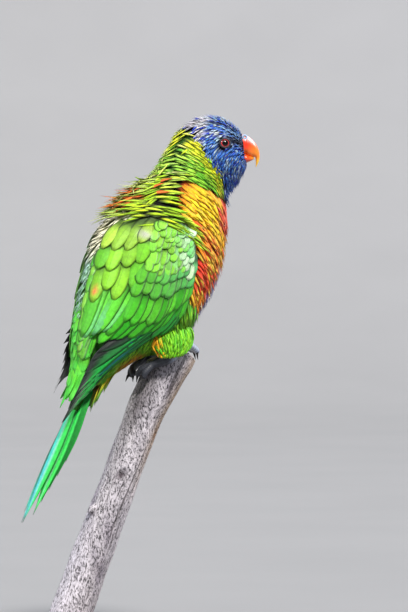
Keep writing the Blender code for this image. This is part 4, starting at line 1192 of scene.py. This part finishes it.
def lower_bill_colour(k, height):
    """Orange-red, yellower towards the point."""
    return mixed("#e8501c", "#ffa028", smooth(k, 0.8, 2.8))


def round_axis(centre, axis, turn, out, on, stretch=1.0):
    """Points at this turn round an axis, out from it and on along it, stretched upwards."""
    axis = unit(np.asarray(axis, float))
    helper = np.array((0.0, 0.0, 1.0)) if abs(axis[2]) < 0.9 else np.array((1.0, 0.0, 0.0))
    sideways = unit(np.cross(helper, axis))
    upward = np.cross(axis, sideways)
    return (
        centre
        + sideways * (out * np.cos(turn))[..., None]
        + upward * (out * np.sin(turn) * stretch)[..., None]
        + axis * (on + 0 * turn)[..., None]
    )


def ring_about(name, centre, axis, radius, thick, colour, stretch=1.0, wrinkle=0.0):
    """A ring of soft skin: a flattened circle carried round the axis, wrinkled across, dark inside as painted
    shade in the hole it rings.
    """
    around, section = 48, 16
    turn, angle = np.meshgrid(circle(around), circle(section), indexing="ij")
    fold = 1 + wrinkle * np.sin(turn * 11 + 2 * np.sin(turn * 3)) * np.cos(angle)
    out = radius + thick * fold * np.cos(angle) * 1.25
    points = round_axis(centre, axis, turn, out, thick * fold * np.sin(angle), stretch)
    # one row more closes the ring, its points folded back on the first row's
    faces = grid_faces(around + 1, section, True)[:, ::-1] % (around * section)
    # painted shade on the ring's inner side
    colours = mixed(colour, "#08090c", 0.95 * smooth(np.cos(angle), 0.1, -0.6))
    return mesh_object(name, points, [faces], colours, None, pairs(turn / UNWRAP_TURN, angle / UNWRAP_TURN))


def make_eye(name, side):
    """Eyeball: a sphere with a bulging cornea, coloured by the angle from the way it looks, with a painted
    highlight on the lower iris and painted shade across its top.
    """
    centre, look = eye_centre(side)
    rows, columns = 48, 40
    angle, turn = np.broadcast_arrays(np.linspace(0.02, math.pi - 0.02, rows)[:, None], circle(columns))
    radius = EYE_RADIUS * (1 + CORNEA_BULGE * bell(angle, 0, 0.5))
    points = round_axis(centre, look, turn, radius * np.sin(angle), radius * np.cos(angle))
    degrees = np.degrees(angle)
    streak = 0.5 + 0.5 * np.sin(turn * 23 + 3 * np.sin(turn * 5))
    colour = layered(
        mixed("#020202", mixed("#cc3a40", "#8c1820", streak * 0.7), smooth(degrees, 28, 31)),
        # painted highlight: pink over the iris's lower part
        ("#e8a0a4", 0.5 * smooth(degrees, 36, 44) * smooth(np.sin(turn), 0.3, -0.6)),
        # painted shade: black over the iris's upper part
        ("#060606", smooth(degrees, 29, 38) * smooth(np.sin(turn), 0.2, 0.75)),
        ("#0c0808", smooth(degrees, 49, 54)),
    )
    faces = flipped(tube_faces(rows, columns))
    return mesh_object(name, points, faces, colour, None, pairs(turn / UNWRAP_TURN, angle / 3.3))


def tube_along(path, radii, rows, sides, bumps=None):
    """Grid of a tube: its middle follows the smooth curve through the path, and its radius the radii.

    bumps takes the place along the path and the turn, and gives a factor for the radius.
    """
    path = np.asarray(path, float)
    knots = np.linspace(0, len(path) - 1, rows)
    middle = spline(path, knots)
    ahead = unit(np.gradient(middle, axis=0))
    upright = np.array((0.0, 0.0, 1.0))
    helper = np.where(np.abs(ahead @ upright)[:, None] > 0.92, np.array((1.0, 0.0, 0.0)), upright)
    sideways = unit(np.cross(helper, ahead))
    upward = np.cross(ahead, sideways)
    radius = np.interp(knots, np.arange(len(path)), radii)[:, None]
    knots, turn = np.broadcast_arrays(knots[:, None], circle(sides))
    if bumps is not None:
        radius = radius * bumps(knots, turn)
    points = (
        middle[:, None]
        + sideways[:, None] * (radius * np.cos(turn))[..., None]
        + upward[:, None] * (radius * np.sin(turn))[..., None]
    )
    return points, knots, turn


# The right foot's places: each toe's joints, and its claw's tip.
FOOT_HUB = (17.6, -11.4, 187.6)
SHIN_TOP = (24.5, -18.5, 194.0)
TOES = (
    (
        [(25.0, -17.0, 191.0), (35.6, -13.6, 197.2), (44.0, -6.0, 199.6), (51.0, -1.6, 196.0)],
        (52.6, -0.8, 190.0),
    ),
    ([(25.0, -16.0, 189.8), (32.0, -15.2, 193.2)], (37.0, -14.6, 192.6)),
    ([(12.6, -7.2, 185.0), (11.4, -3.4, 181.6)], (10.6, -1.8, 176.4)),
    ([(13.4, -11.0, 183.6), (12.2, -10.2, 180.6)], (8.6, -9.6, 176.4)),
)
PERCH_MIDDLE_Y = 1.28  # the left foot's toes are the right one's, mirrored on this plane
HUB_RADIUS, CLAW_RADIUS = 2.3, 1.35
TOE_RINGS = 14  # how fast the rings of scales follow each other along a toe
TOE_PLATES = 4


def scaled_skin(knots, turn):
    """Rings of scales round a toe, each split in plates across its top."""
    ring = np.abs(np.sin(knots * TOE_RINGS)) ** 0.5
    plate = 0.5 + 0.5 * np.cos(turn * TOE_PLATES)
    return 0.93 + 0.08 * ring * (0.7 + 0.3 * plate)


def toe_colour(grid, knots, turn):
    """Blue-grey scales with dark grooves, and darker painted shade under the thigh."""
    return layered(
        mixed("#98a2b8", "#2c333f", 0.8 * (1 - np.abs(np.sin(knots * TOE_RINGS)) ** 0.5)),
        ("#c4cadb", 0.4 * smooth(np.cos(turn * TOE_PLATES), 0.2, 1.0)),
        # painted shade: near black where the toes run under the thigh
        ("#15161b", 0.9 * smooth(grid[..., 0], 31, 25)),
    )


def claw_colour(grid, knots, turn):
    """Dark grey at the root and black at the point."""
    return mixed("#2b2a2c", "#0b0b0c", smooth(knots, 0.4, 1.2))


def make_foot(label, side):
    """Scaly toes and shank of one foot, and its claws, as closed tubes."""

    def seen(point):
        """The point on this foot that answers to one on the right foot."""
        return np.array((point[0], point[1] if side > 0 else 2 * PERCH_MIDDLE_Y - point[1], point[2]))

    hub = seen(FOOT_HUB)
    shin = np.array(SHIN_TOP) * (1, side, 1)
    shank = tube_along([shin, (shin + hub) / 2, hub], [2.4, 2.1, HUB_RADIUS], 30, 22, scaled_skin)
    toes, claws = [shank], []
    for line, claw_end in TOES:
        points = [seen(p) for p in line]
        last, end = points[-1], seen(claw_end)
        count = len(line)
        radii = [HUB_RADIUS] + [2.05 + 0.1 * count] * (count - 1) + [2.1, CLAW_RADIUS]
        path = [hub, *points, last + (end - last) * 0.18]
        toes.append(tube_along(path, radii, 22 + 16 * count, 22, scaled_skin))
        bend = (last + end) / 2 + (0, 0, 1.3)
        claws.append(tube_along([last, bend, end], [CLAW_RADIUS, 0.95, 0.12], 22, 14))
    made = []
    for name, tubes, colour_of in (("foot", toes, toe_colour), ("claws", claws, claw_colour)):
        points, faces, colours, bake, start = [], [], [], [], 0
        for number, (grid, knots, turn) in enumerate(tubes):
            points.append(grid.reshape(-1, 3))
            faces += tube_faces(*knots.shape, start)
            colours.append(colour_of(grid, knots, turn).reshape(-1, 3))
            bake.append(pairs((turn / UNWRAP_TURN + number) / 6, knots / 6))
            start += knots.size
        points, colours, bake = (np.concatenate(part) for part in (points, colours, bake))
        made.append(mesh_object(f"{name}_{label}", points, faces, colours, None, bake))
    return made


# Branch

# x, y, z of the middle, and the radius
PERCH_LINE = np.array(
    [
        (-24.1, 24.6, 28.6, 12.6),
        (-13.6, 20.3, 60.0, 12.4),
        (-3.7, 16.4, 89.2, 12.0),
        (7.0, 12.0, 120.7, 11.4),
        (18.3, 7.4, 152.2, 11.8),
        (29.0, 3.2, 176.2, 13.6),
        (36.0, 0.4, 191.5, 14.4),
    ]
)
PERCH_RADIUS = 12  # for distances round the branch
# radians round the branch and height of its knot hole, its twig's stub and its brown notch
KNOT_HOLE, TWIG_STUB, NOTCH = (4.35, 118), (3.46, 96.5), (-0.6, 143)
PERCH_PEAK_X, PERCH_PEAK_Z = 39.0, 195.6
PERCH_FRONT_SLOPE, PERCH_BACK_SLOPE = 0.5, 0.32
CUT_DEPTH = 46  # rows of the branch that are drawn up to the aslant cut
CUT_RINGS = 40  # rings of points on the cut's own face


def waves(x, y, seed, scale, octaves):
    """Uneven field from -1 to 1 over two coordinates: sines in random directions, each octave finer."""
    draw = np.random.default_rng(seed)
    total, weight, size = 0, 0, 1.0
    for _ in range(octaves):
        for _ in range(5):
            way, phase = draw.uniform(0, 2 * math.pi, 2)
            total = total + size * np.sin((x * math.cos(way) + y * math.sin(way)) * scale + phase)
            weight += size
        scale, size = scale * 1.9, size * 0.6
    return total / weight * 2.2


def past(angle, other):
    """Radians from the other angle to this one, the short way round."""
    return np.angle(np.exp(1j * (angle - other)))


def below_peak(x):
    """How far the cut has fallen at x, on its front or its back slope, for each millimetre from its peak."""
    return np.where(x > PERCH_PEAK_X, PERCH_FRONT_SLOPE, PERCH_BACK_SLOPE)


def make_branch():
    """Weathered branch: bumpy rings along its line, cut aslant on top, with cracks running lengthwise.

    A ring's radius is the line's, times two slow waves round it and one along it. Added to it are fine
    grain, lumps, cracks cut in, one knot hole with a raised lip, and the stub of a twig.
    """
    rows, sides = 330, 220
    knots = np.linspace(0, len(PERCH_LINE) - 1, rows)
    line = spline(PERCH_LINE, knots)
    angle = circle(sides)[None, :]
    x0, y0, z0, radius = (line[:, i : i + 1] for i in range(4))
    bumps = 1 + 0.035 * np.sin(3 * angle + 0.7) + 0.02 * np.sin(5 * angle + 2.0)
    bumps = bumps * (1 + 0.015 * np.sin(knots[:, None] * 6))
    east = np.cos(angle) * PERCH_RADIUS + 2.2 * np.sin(z0 / 31) + 1.3 * np.sin(z0 / 13 + 1)
    north = np.sin(angle) * PERCH_RADIUS
    grain = waves(east + 0.05 * z0, north + 0.04 * z0, 3, 1.5, 4)
    crack = np.clip(waves(east * 1.4 + 0.09 * z0, north * 1.4 - 0.06 * z0, 8, 0.9, 3) - 0.5, 0, 1)
    lumps = waves(east * 0.35 + z0 * 0.12, north * 0.35 - z0 * 0.1, 5, 0.5, 3)
    knot_gap = np.hypot(past(angle, KNOT_HOLE[0]) * PERCH_RADIUS * 1.1, z0 - KNOT_HOLE[1])
    knot_hole = bell(knot_gap, 0, 3.4)
    stub = np.exp(-((np.hypot(past(angle, TWIG_STUB[0]) * PERCH_RADIUS, z0 - TWIG_STUB[1]) / 3.0) ** 4))
    depth = 0.16 * grain - 0.95 * crack + 0.28 * lumps - 1.1 * knot_hole + 0.5 * bell(knot_gap, 5.2, 2.2)
    around = radius * bumps * 0.985 + depth + 3.0 * stub
    points = np.stack([x0 + 1.1 * around * np.cos(angle), y0 + around * np.sin(angle), z0 + 0 * around], -1)
    upward = (line[-1, :3] - line[-3, :3]) / (line[-1, 2] - line[-3, 2])
    rim = points[-1]
    cut = PERCH_PEAK_Z - below_peak(rim[:, 0]) * np.abs(rim[:, 0] - PERCH_PEAK_X) - 0.4
    share = smooth(np.linspace(0, 1, CUT_DEPTH), 0, 1)[:, None]
    points[-CUT_DEPTH:] += ((cut - rim[:, 2])[None, :] * share)[..., None] * upward
    # the cut face: rings drawn in to its middle, on the two slopes
    last = points[-1]
    centre = last.mean(axis=0)
    face = []
    for step in np.linspace(1, CUT_RINGS, CUT_RINGS) / CUT_RINGS:
        ring = centre + (last - centre) * (1 - step) ** 0.9
        flat = PERCH_PEAK_Z - below_peak(ring[:, 0]) * np.hypot(ring[:, 0] - PERCH_PEAK_X, 1.2) + 0.1
        saw = 0.1 * waves(ring[:, 0], ring[:, 1], 11, 1.6, 3)
        round_in = smooth(step, 0, 0.12)
        ring[:, 2] = last[:, 2] * (1 - round_in) + (flat + saw) * round_in
        face.append(ring)
    face = np.array(face)
    face[-1] = face[-1].mean(axis=0) + (face[-2] - face[-2].mean(axis=0)) * 0.02
    points = np.concatenate([points, face])
    notch_gap = np.hypot(past(angle, NOTCH[0]) * PERCH_RADIUS, (z0 - NOTCH[1]) * 0.6)
    colours = layered(
        mixed("#a19ca6", "#d6d1d9", np.clip(0.5 + 0.32 * lumps + 0.22 * grain, 0, 1)),
        ("#8a8290", 0.5 * smooth(-lumps, 0.3, 0.9)),
        ("#b99a72", 0.6 * bell(past(angle, -0.55), 0, 0.55) * smooth(z0, 90, 150)),
        # painted shade: a dark band down the shaded side of the upper branch, below the feet
        ("#4a4448", 0.7 * bell(past(angle, 3.75), 0, 0.6) * smooth(z0, 120, 165)),
        ("#2b2224", np.clip(1.4 * crack, 0, 0.7)),
        ("#33242c", 0.9 * knot_hole),
        ("#6b4426", 0.8 * bell(notch_gap, 0, 2.6)),
    )
    year_rings = 0.5 + 0.5 * np.sin(np.linspace(0, 30, CUT_RINGS))[:, None] + 0 * face[..., 0]
    colours = np.concatenate([colours, mixed("#b9aa95", "#8f7c66", 0.5 * year_rings)])
    bake = pairs(angle / UNWRAP_TURN, np.linspace(0.01, 0.99, len(points))[:, None])
    return mesh_object("branch", points, tube_faces(len(points), sides), colours, None, bake)


# Finishes


def add(tree, kind, settings=None, links=None):
    """One node with its settings, and links into its inputs from other nodes' outputs."""
    node = tree.nodes.new(kind)
    for key, value in (settings or {}).items():
        if isinstance(key, str) and hasattr(node, key):
            setattr(node, key, value)
        else:
            node.inputs[key].default_value = value
    for key, source in (links or {}).items():
        output = source if isinstance(source, bpy.types.NodeSocket) else source.outputs[0]
        tree.links.new(output, node.inputs[key])
    return node


def computed(tree, operation, *values):
    """Math node of these values, each a number or another node."""
    numbers = {i: value for i, value in enumerate(values) if isinstance(value, (int, float))}
    links = {i: value for i, value in enumerate(values) if i not in numbers}
    return add(tree, "ShaderNodeMath", {"operation": operation, **numbers}, links)


def ranged(tree, source, low, high, to_low, to_high):
    """The source's values from low to high, carried to those from to_low to to_high."""
    settings = {"From Min": low, "From Max": high, "To Min": to_low, "To Max": to_high}
    return add(tree, "ShaderNodeMapRange", settings, {0: source})


def place_in(tree, stretch=(1, 1, 1), rotation=(0, 0, 0)):
    """The piece's own space, drawn out along an axis where stretch is under one."""
    where = add(tree, "ShaderNodeTexCoord").outputs["Object"]
    return add(tree, "ShaderNodeMapping", {"Scale": stretch, "Rotation": rotation}, {"Vector": where})


def noise(tree, size_mm, detail, roughness=0.5, distortion=0.0, **place):
    """Cloudy noise of this real size."""
    settings = {"Detail": detail, "Roughness": roughness, "Distortion": distortion}
    settings["Scale"] = 1 / (size_mm * MM)
    return add(tree, "ShaderNodeTexNoise", settings, {"Vector": place_in(tree, **place)})


def new_material(name, settings):
    """Material with a Principled shader that holds these constants."""
    material = bpy.data.materials.new(name)
    material.use_nodes = True
    shader = material.node_tree.nodes["Principled BSDF"]
    for key, value in settings.items():
        shader.inputs[key].default_value = value
    return material, material.node_tree, shader


def bumped(tree, shader, height, strength, depth):
    """Raises the surface by the height."""
    bump = add(tree, "ShaderNodeBump", {"Strength": strength, "Distance": depth}, {"Height": height})
    tree.links.new(bump.outputs[0], shader.inputs["Normal"])


def own_colours(tree, shader, factor):
    """Gives the surface the piece's own colours, times the factor."""
    own = add(tree, "ShaderNodeAttribute", {"attribute_name": "Plumage"}).outputs["Color"]
    grey = add(tree, "ShaderNodeCombineXYZ", links={0: factor, 1: factor, 2: factor})
    settings = {"data_type": "RGBA", "blend_type": "MULTIPLY", 0: 1.0}
    colour = add(tree, "ShaderNodeMix", settings, {6: own, 7: grey})
    tree.links.new(colour.outputs[2], shader.inputs["Base Color"])


def two_tones(tree, shader, source, low, high, start=0.0, end=1.0):
    """Gives the surface colours from low to high as the source goes from start to end."""
    ramp = add(tree, "ShaderNodeValToRGB", links={0: source})
    for element, place, code in zip(ramp.color_ramp.elements, (start, end), (low, high)):
        element.position = place
        element.color = (*linear(code), 1)
    tree.links.new(ramp.outputs[0], shader.inputs["Base Color"])


def feather_material(name, roughness, barb, depth=0.00012):
    """Keratin vane: soft gloss, the barbs' fine slanting lines and a shaft down the middle.

    Real barbs stand about 0.3 mm apart; they are drawn barb mm apart so that they show.
    """
    gloss = {"Roughness": roughness, "Specular IOR Level": 0.35, "Sheen Weight": 0.04, "Sheen Roughness": 0.4}
    material, tree, shader = new_material(name, gloss)
    lie = add(tree, "ShaderNodeUVMap", {"uv_map": "Lie"})
    split = add(tree, "ShaderNodeSeparateXYZ", links={0: lie})
    across = computed(tree, "ABSOLUTE", split.outputs["X"])
    slant = computed(tree, "MULTIPLY_ADD", across, -1.15, split.outputs["Y"])
    wave = computed(tree, "SINE", computed(tree, "MULTIPLY", slant, 2 * math.pi / barb))
    patchy = ranged(tree, noise(tree, 2.1, 3.0, 0.6), 0.3, 0.7, 0.82, 1.14)
    shaft = ranged(tree, across, 0.06, 0.2, 0.72, 1.0)
    factor = computed(tree, "MULTIPLY", computed(tree, "MULTIPLY_ADD", wave, 0.09, 0.96), patchy)
    own_colours(tree, shader, computed(tree, "MULTIPLY", factor, shaft))
    bumped(tree, shader, wave, 0.5, depth)
    return material


def coloured_material(name, settings, size_mm, low, high, depth, stretch=(1, 1, 1), strength=0.5):
    """Material of the piece's own colours, darker and lighter in a noise of this real size that raises it."""
    material, tree, shader = new_material(name, settings)
    cloud = noise(tree, size_mm, 4.0, 0.6, stretch=stretch)
    own_colours(tree, shader, ranged(tree, cloud, 0.3, 0.7, low, high))
    bumped(tree, shader, cloud, strength, depth)
    return material


def branch_material():
    """Bare weathered hardwood: fine lengthwise grain, grey bloom, and the dark pinholes of beetles."""
    rough = {"Roughness": 0.88, "Specular IOR Level": 0.2}
    material, tree, shader = new_material("weathered_hardwood", rough)
    lean = (0.12, -0.32, 0.0)
    grain = noise(tree, 2.2, 5.0, 0.75, stretch=(1.0, 1.0, 0.16), rotation=lean)
    speck = noise(tree, 1.0, 4.0, 0.85, stretch=(1.0, 1.0, 0.42), rotation=lean)
    cells = add(tree, "ShaderNodeTexVoronoi", {"Scale": 1000 / 9.0}, {"Vector": place_in(tree)})
    tone = ranged(tree, grain, 0.34, 0.56, 0.72, 1.08)
    first = computed(tree, "MULTIPLY", tone, ranged(tree, speck, 0.42, 0.5, 0.12, 1.12))
    hole = ranged(tree, cells.outputs["Distance"], 0.05, 0.09, 0.12, 1.0)
    own_colours(tree, shader, computed(tree, "MULTIPLY", first, hole))
    bumped(tree, shader, computed(tree, "MULTIPLY_ADD", first, 0.6, hole), 0.8, 0.0005)
    return material


def stand_wood_material():
    """Dark stained beech with a satin lacquer: long grain along the base and fine pores."""
    satin = {"Roughness": 0.42, "Coat Weight": 0.25, "Coat Roughness": 0.25}
    material, tree, shader = new_material("stained_beech", satin)
    grain = noise(tree, 4.0, 6.0, 0.65, 0.6, stretch=(0.08, 1.0, 1.0))
    two_tones(tree, shader, grain, "#2a1a12", "#5e4130", 0.3, 0.72)
    bumped(tree, shader, grain, 0.25, 0.0002)
    return material


def stand_metal_material():
    """Brushed stainless steel: fine turning marks round the rod."""
    material, tree, shader = new_material("brushed_steel", {"Metallic": 1.0, "Roughness": 0.32})
    marks = noise(tree, 0.6, 3.0, stretch=(0.1, 0.1, 1.0))
    two_tones(tree, shader, marks, "#8f9094", "#c4c5c8")
    bumped(tree, shader, marks, 0.3, 0.00005)
    return material


def floor_material():
    """Matte pale studio paper with a faint unevenness."""
    material, tree, shader = new_material("studio_paper", {"Roughness": 0.95, "Specular IOR Level": 0.1})
    two_tones(tree, shader, noise(tree, 1000 / 6, 2.0), "#828386", "#88898c")
    return material


# Setting


def placed(name, data, right, up, away, place):
    """Object that looks against the way called away, from this place in millimetres."""
    made = bpy.data.objects.new(name, data)
    matrix = np.eye(4)
    matrix[:3] = np.stack([right, up, away, np.asarray(place) * MM], -1)
    made.matrix_world = Matrix(matrix.tolist())
    bpy.context.scene.collection.objects.link(made)
    return made


def make_camera():
    """Long lens at the photograph's angle, turned about the upright line and tipped down."""
    ahead = np.array((-math.sin(VIEW_TURN), math.cos(VIEW_TURN), -math.tan(VIEW_RISE)))
    ahead = ahead * math.cos(VIEW_RISE)
    right = np.array((math.cos(VIEW_TURN), math.sin(VIEW_TURN), 0.0))
    lens = bpy.data.cameras.new("camera")
    lens.sensor_fit = "VERTICAL"
    lens.sensor_height = SENSOR
    lens.lens = SENSOR * VIEW_DISTANCE / VIEW_HEIGHT
    lens.clip_start, lens.clip_end = 0.05, 60.0
    place = VIEW_TARGET - ahead * VIEW_DISTANCE
    bpy.context.scene.camera = placed("camera", lens, right, np.cross(right, ahead), -ahead, place)


def sun_light(name, azimuth, height, breadth, power, colour):
    """Soft even light from far off, azimuth degrees round from the camera and breadth degrees wide."""
    lamp = bpy.data.lights.new(name, "SUN")
    lamp.angle = math.radians(breadth)
    lamp.energy = power
    lamp.color = tuple(linear(colour))
    turn = VIEW_TURN + math.radians(azimuth)
    rise = math.radians(height)
    away = np.array((math.sin(turn) * math.cos(rise), -math.cos(turn) * math.cos(rise), math.sin(rise)))
    right = unit(np.cross((0, 0, 1), away))
    placed(name, lamp, right, np.cross(away, right), away, away * 3000)


def make_setting():
    """Pale floor that curves up far behind, an even dim surround, and three soft lights.

    The floor is flat out to 2.6 m, and beyond that a quarter of an ellipse 2.4 m wide and 2.6 m high.
    """
    flat, width, sides = 2600, 2400, 96
    reach = np.concatenate([np.linspace(flat + width, flat, 25), np.linspace(2400, 40, 10)])[:, None]
    rise = np.clip((reach - flat) / width, 0, 1)
    height = flat * (1 - np.sqrt(1 - rise**2))
    turn = circle(sides)
    points = np.stack([reach * np.cos(turn), reach * np.sin(turn), height + 0 * turn], -1)
    faces = [grid_faces(len(reach), sides, True), np.arange(sides)[None, :] + (len(reach) - 1) * sides]
    floor = mesh_object("floor", points, faces)
    floor.data.materials.append(floor_material())
    world = bpy.data.worlds.new("surroundings")
    world.use_nodes = True
    background = world.node_tree.nodes["Background"]
    background.inputs["Color"].default_value = (*linear("#e4e8ee"), 1)
    background.inputs["Strength"].default_value = 0.55
    bpy.context.scene.world = world
    bpy.context.scene.view_settings.view_transform = "Standard"
    sun_light("key", 18, 46, 9, 4.9, "#fffaf2")
    sun_light("fill", -62, 30, 30, 3.0, "#f4f7ff")
    sun_light("rim", 112, 36, 24, 2.4, "#ffffff")


# The object


def finished(piece, material):
    """Gives the piece its one finish."""
    piece.data.materials.clear()
    piece.data.materials.append(material)


def dress(piece, material, slot, *nodes):
    """Rides the piece on the body, gives it its finish, and hides the CAD nodes it stands for."""
    finished(piece, material)
    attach(piece, "root")
    if nodes:
        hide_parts(*nodes)


def coat(name, made, material, slot, *nodes, own_cells=False):
    """One piece of these pairs of feathers and colours."""
    dress(join_feathers(name, *zip(*made), own_cells), material, slot, *nodes)


def main():
    """Builds the setting, the finishes and every piece of the bird and its branch, and gives the stand's two
    parts their finishes.
    """
    make_camera()
    make_setting()
    # soft strands of the body, with barb lines and a dull gloss
    soft = feather_material("contour_feather_keratin", 0.62, 0.8)
    # stiffer quills, with coarser barbs, a plain shaft and more shine
    quill = feather_material("flight_feather_keratin", 0.5, 1.0, 0.0002)
    # the head's small hard feathers, finely barbed
    fine = feather_material("head_feather_keratin", 0.5, 0.6)
    # dull skin whose dark colours are painted shade between the feathers
    dull = {"Roughness": 0.8, "Specular IOR Level": 0.2}
    under = coloured_material("bird_skin", dull, 1.2, 0.8, 1.15, 0.0002)
    # waxy gloss on a faintly clouded, slightly see-through horn
    waxy = {
        "Roughness": 0.3, "Coat Weight": 0.35, "Coat Roughness": 0.18,
        "Subsurface Weight": 0.08, "Subsurface Radius": (0.002, 0.0008, 0.0004),
    }
    horn = coloured_material("polished_bill_horn", waxy, 2.6, 0.9, 1.08, 0.00015, (1, 1, 0.5), 0.35)
    # a wet highlight over the flecked iris
    wetness = {"Roughness": 0.2, "Specular IOR Level": 0.25, "Coat Weight": 0.35, "Coat Roughness": 0.02}
    wet = coloured_material("wet_eye", wetness, 0.5, 0.92, 1.06, 0.00002)
    # fine-pored matte rim round the eye and the nostril
    bare = coloured_material("bare_eyelid_skin", {"Roughness": 0.6}, 0.5, 0.75, 1.2, 0.0002)
    # worn, mottled scales
    worn = {"Roughness": 0.5, "Specular IOR Level": 0.4}
    scaly = coloured_material("scaly_toe_skin", worn, 0.8, 0.75, 1.2, 0.0002)
    # glossy black claw with lengthwise streaks
    glossy = {"Roughness": 0.3, "Specular IOR Level": 0.5}
    black = coloured_material("claw_horn", glossy, 0.9, 0.8, 1.2, 0.00008, (1, 1, 0.4))

    dress(make_skin(), under, "body_feathers", "torso", "neck", "head")
    coat("mantle_and_back", [make_mantle(), make_back(), make_rump()], soft, "body_feathers")
    coat("breast_and_belly", [make_breast(), *make_vent()], soft, "body_feathers")
    coat("neck_coat", [make_neck_coat()], soft, "neck_feathers")
    coat("head_coat", [make_head_coat()], fine, "head_feathers")
    coat("thigh_coat", [make_thigh(False), make_thigh(True)], soft, "leg_feathers")
    for side, label in ((1, "right"), (-1, "left")):
        name = f"wing_{label}"
        coat(f"{name}_feathers", make_wing(side), quill, "wing_feathers", name, own_cells=True)
    coat("tail_quills", make_tail(), quill, "tail_feathers", "tail", own_cells=True)

    dress(make_bill("bill_upper_horn", UPPER_BILL, 64, 48, upper_bill_colour), horn, "bill", "bill_upper")
    dress(make_bill("bill_lower_horn", LOWER_BILL, 28, 40, lower_bill_colour), horn, "bill", "bill_lower")
    for side, label in ((1, "right"), (-1, "left")):
        dress(make_eye(f"eyeball_{label}", side), wet, "eye", f"eye_{label}")
        centre, look = eye_centre(side)
        rim = centre + look * (EYE_SUNK + LID_RISE)
        lid = ring_about(f"eyelid_{label}", rim, look, LID_RADIUS, LID_THICK, "#1a1c26", 0.88, 0.12)
        dress(lid, bare, "head_feathers")
        x, y, z = NOSTRIL
        place = turned(x, -y * side, z, 1.0)
        x, y, z = NOSTRIL_WAY
        way = turned(NECK_PIVOT_X + x, -y * side, z, 1.0) - (NECK_PIVOT_X, 0, 0)
        size = (NOSTRIL_RADIUS, NOSTRIL_THICK)
        dress(ring_about(f"nostril_{label}", place, way, *size, "#8ea4c4", 1.0, 0.05), bare, "bill")
        foot, claws = make_foot(label, side)
        dress(foot, scaly, "leg_feathers", f"leg_{label}")
        dress(claws, black, "leg_feathers")
    dress(make_branch(), branch_material(), "branch_wood", "perch")
    finished(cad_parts["stand_base"], stand_wood_material())
    finished(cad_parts["stand_rod"], stand_metal_material())


main()
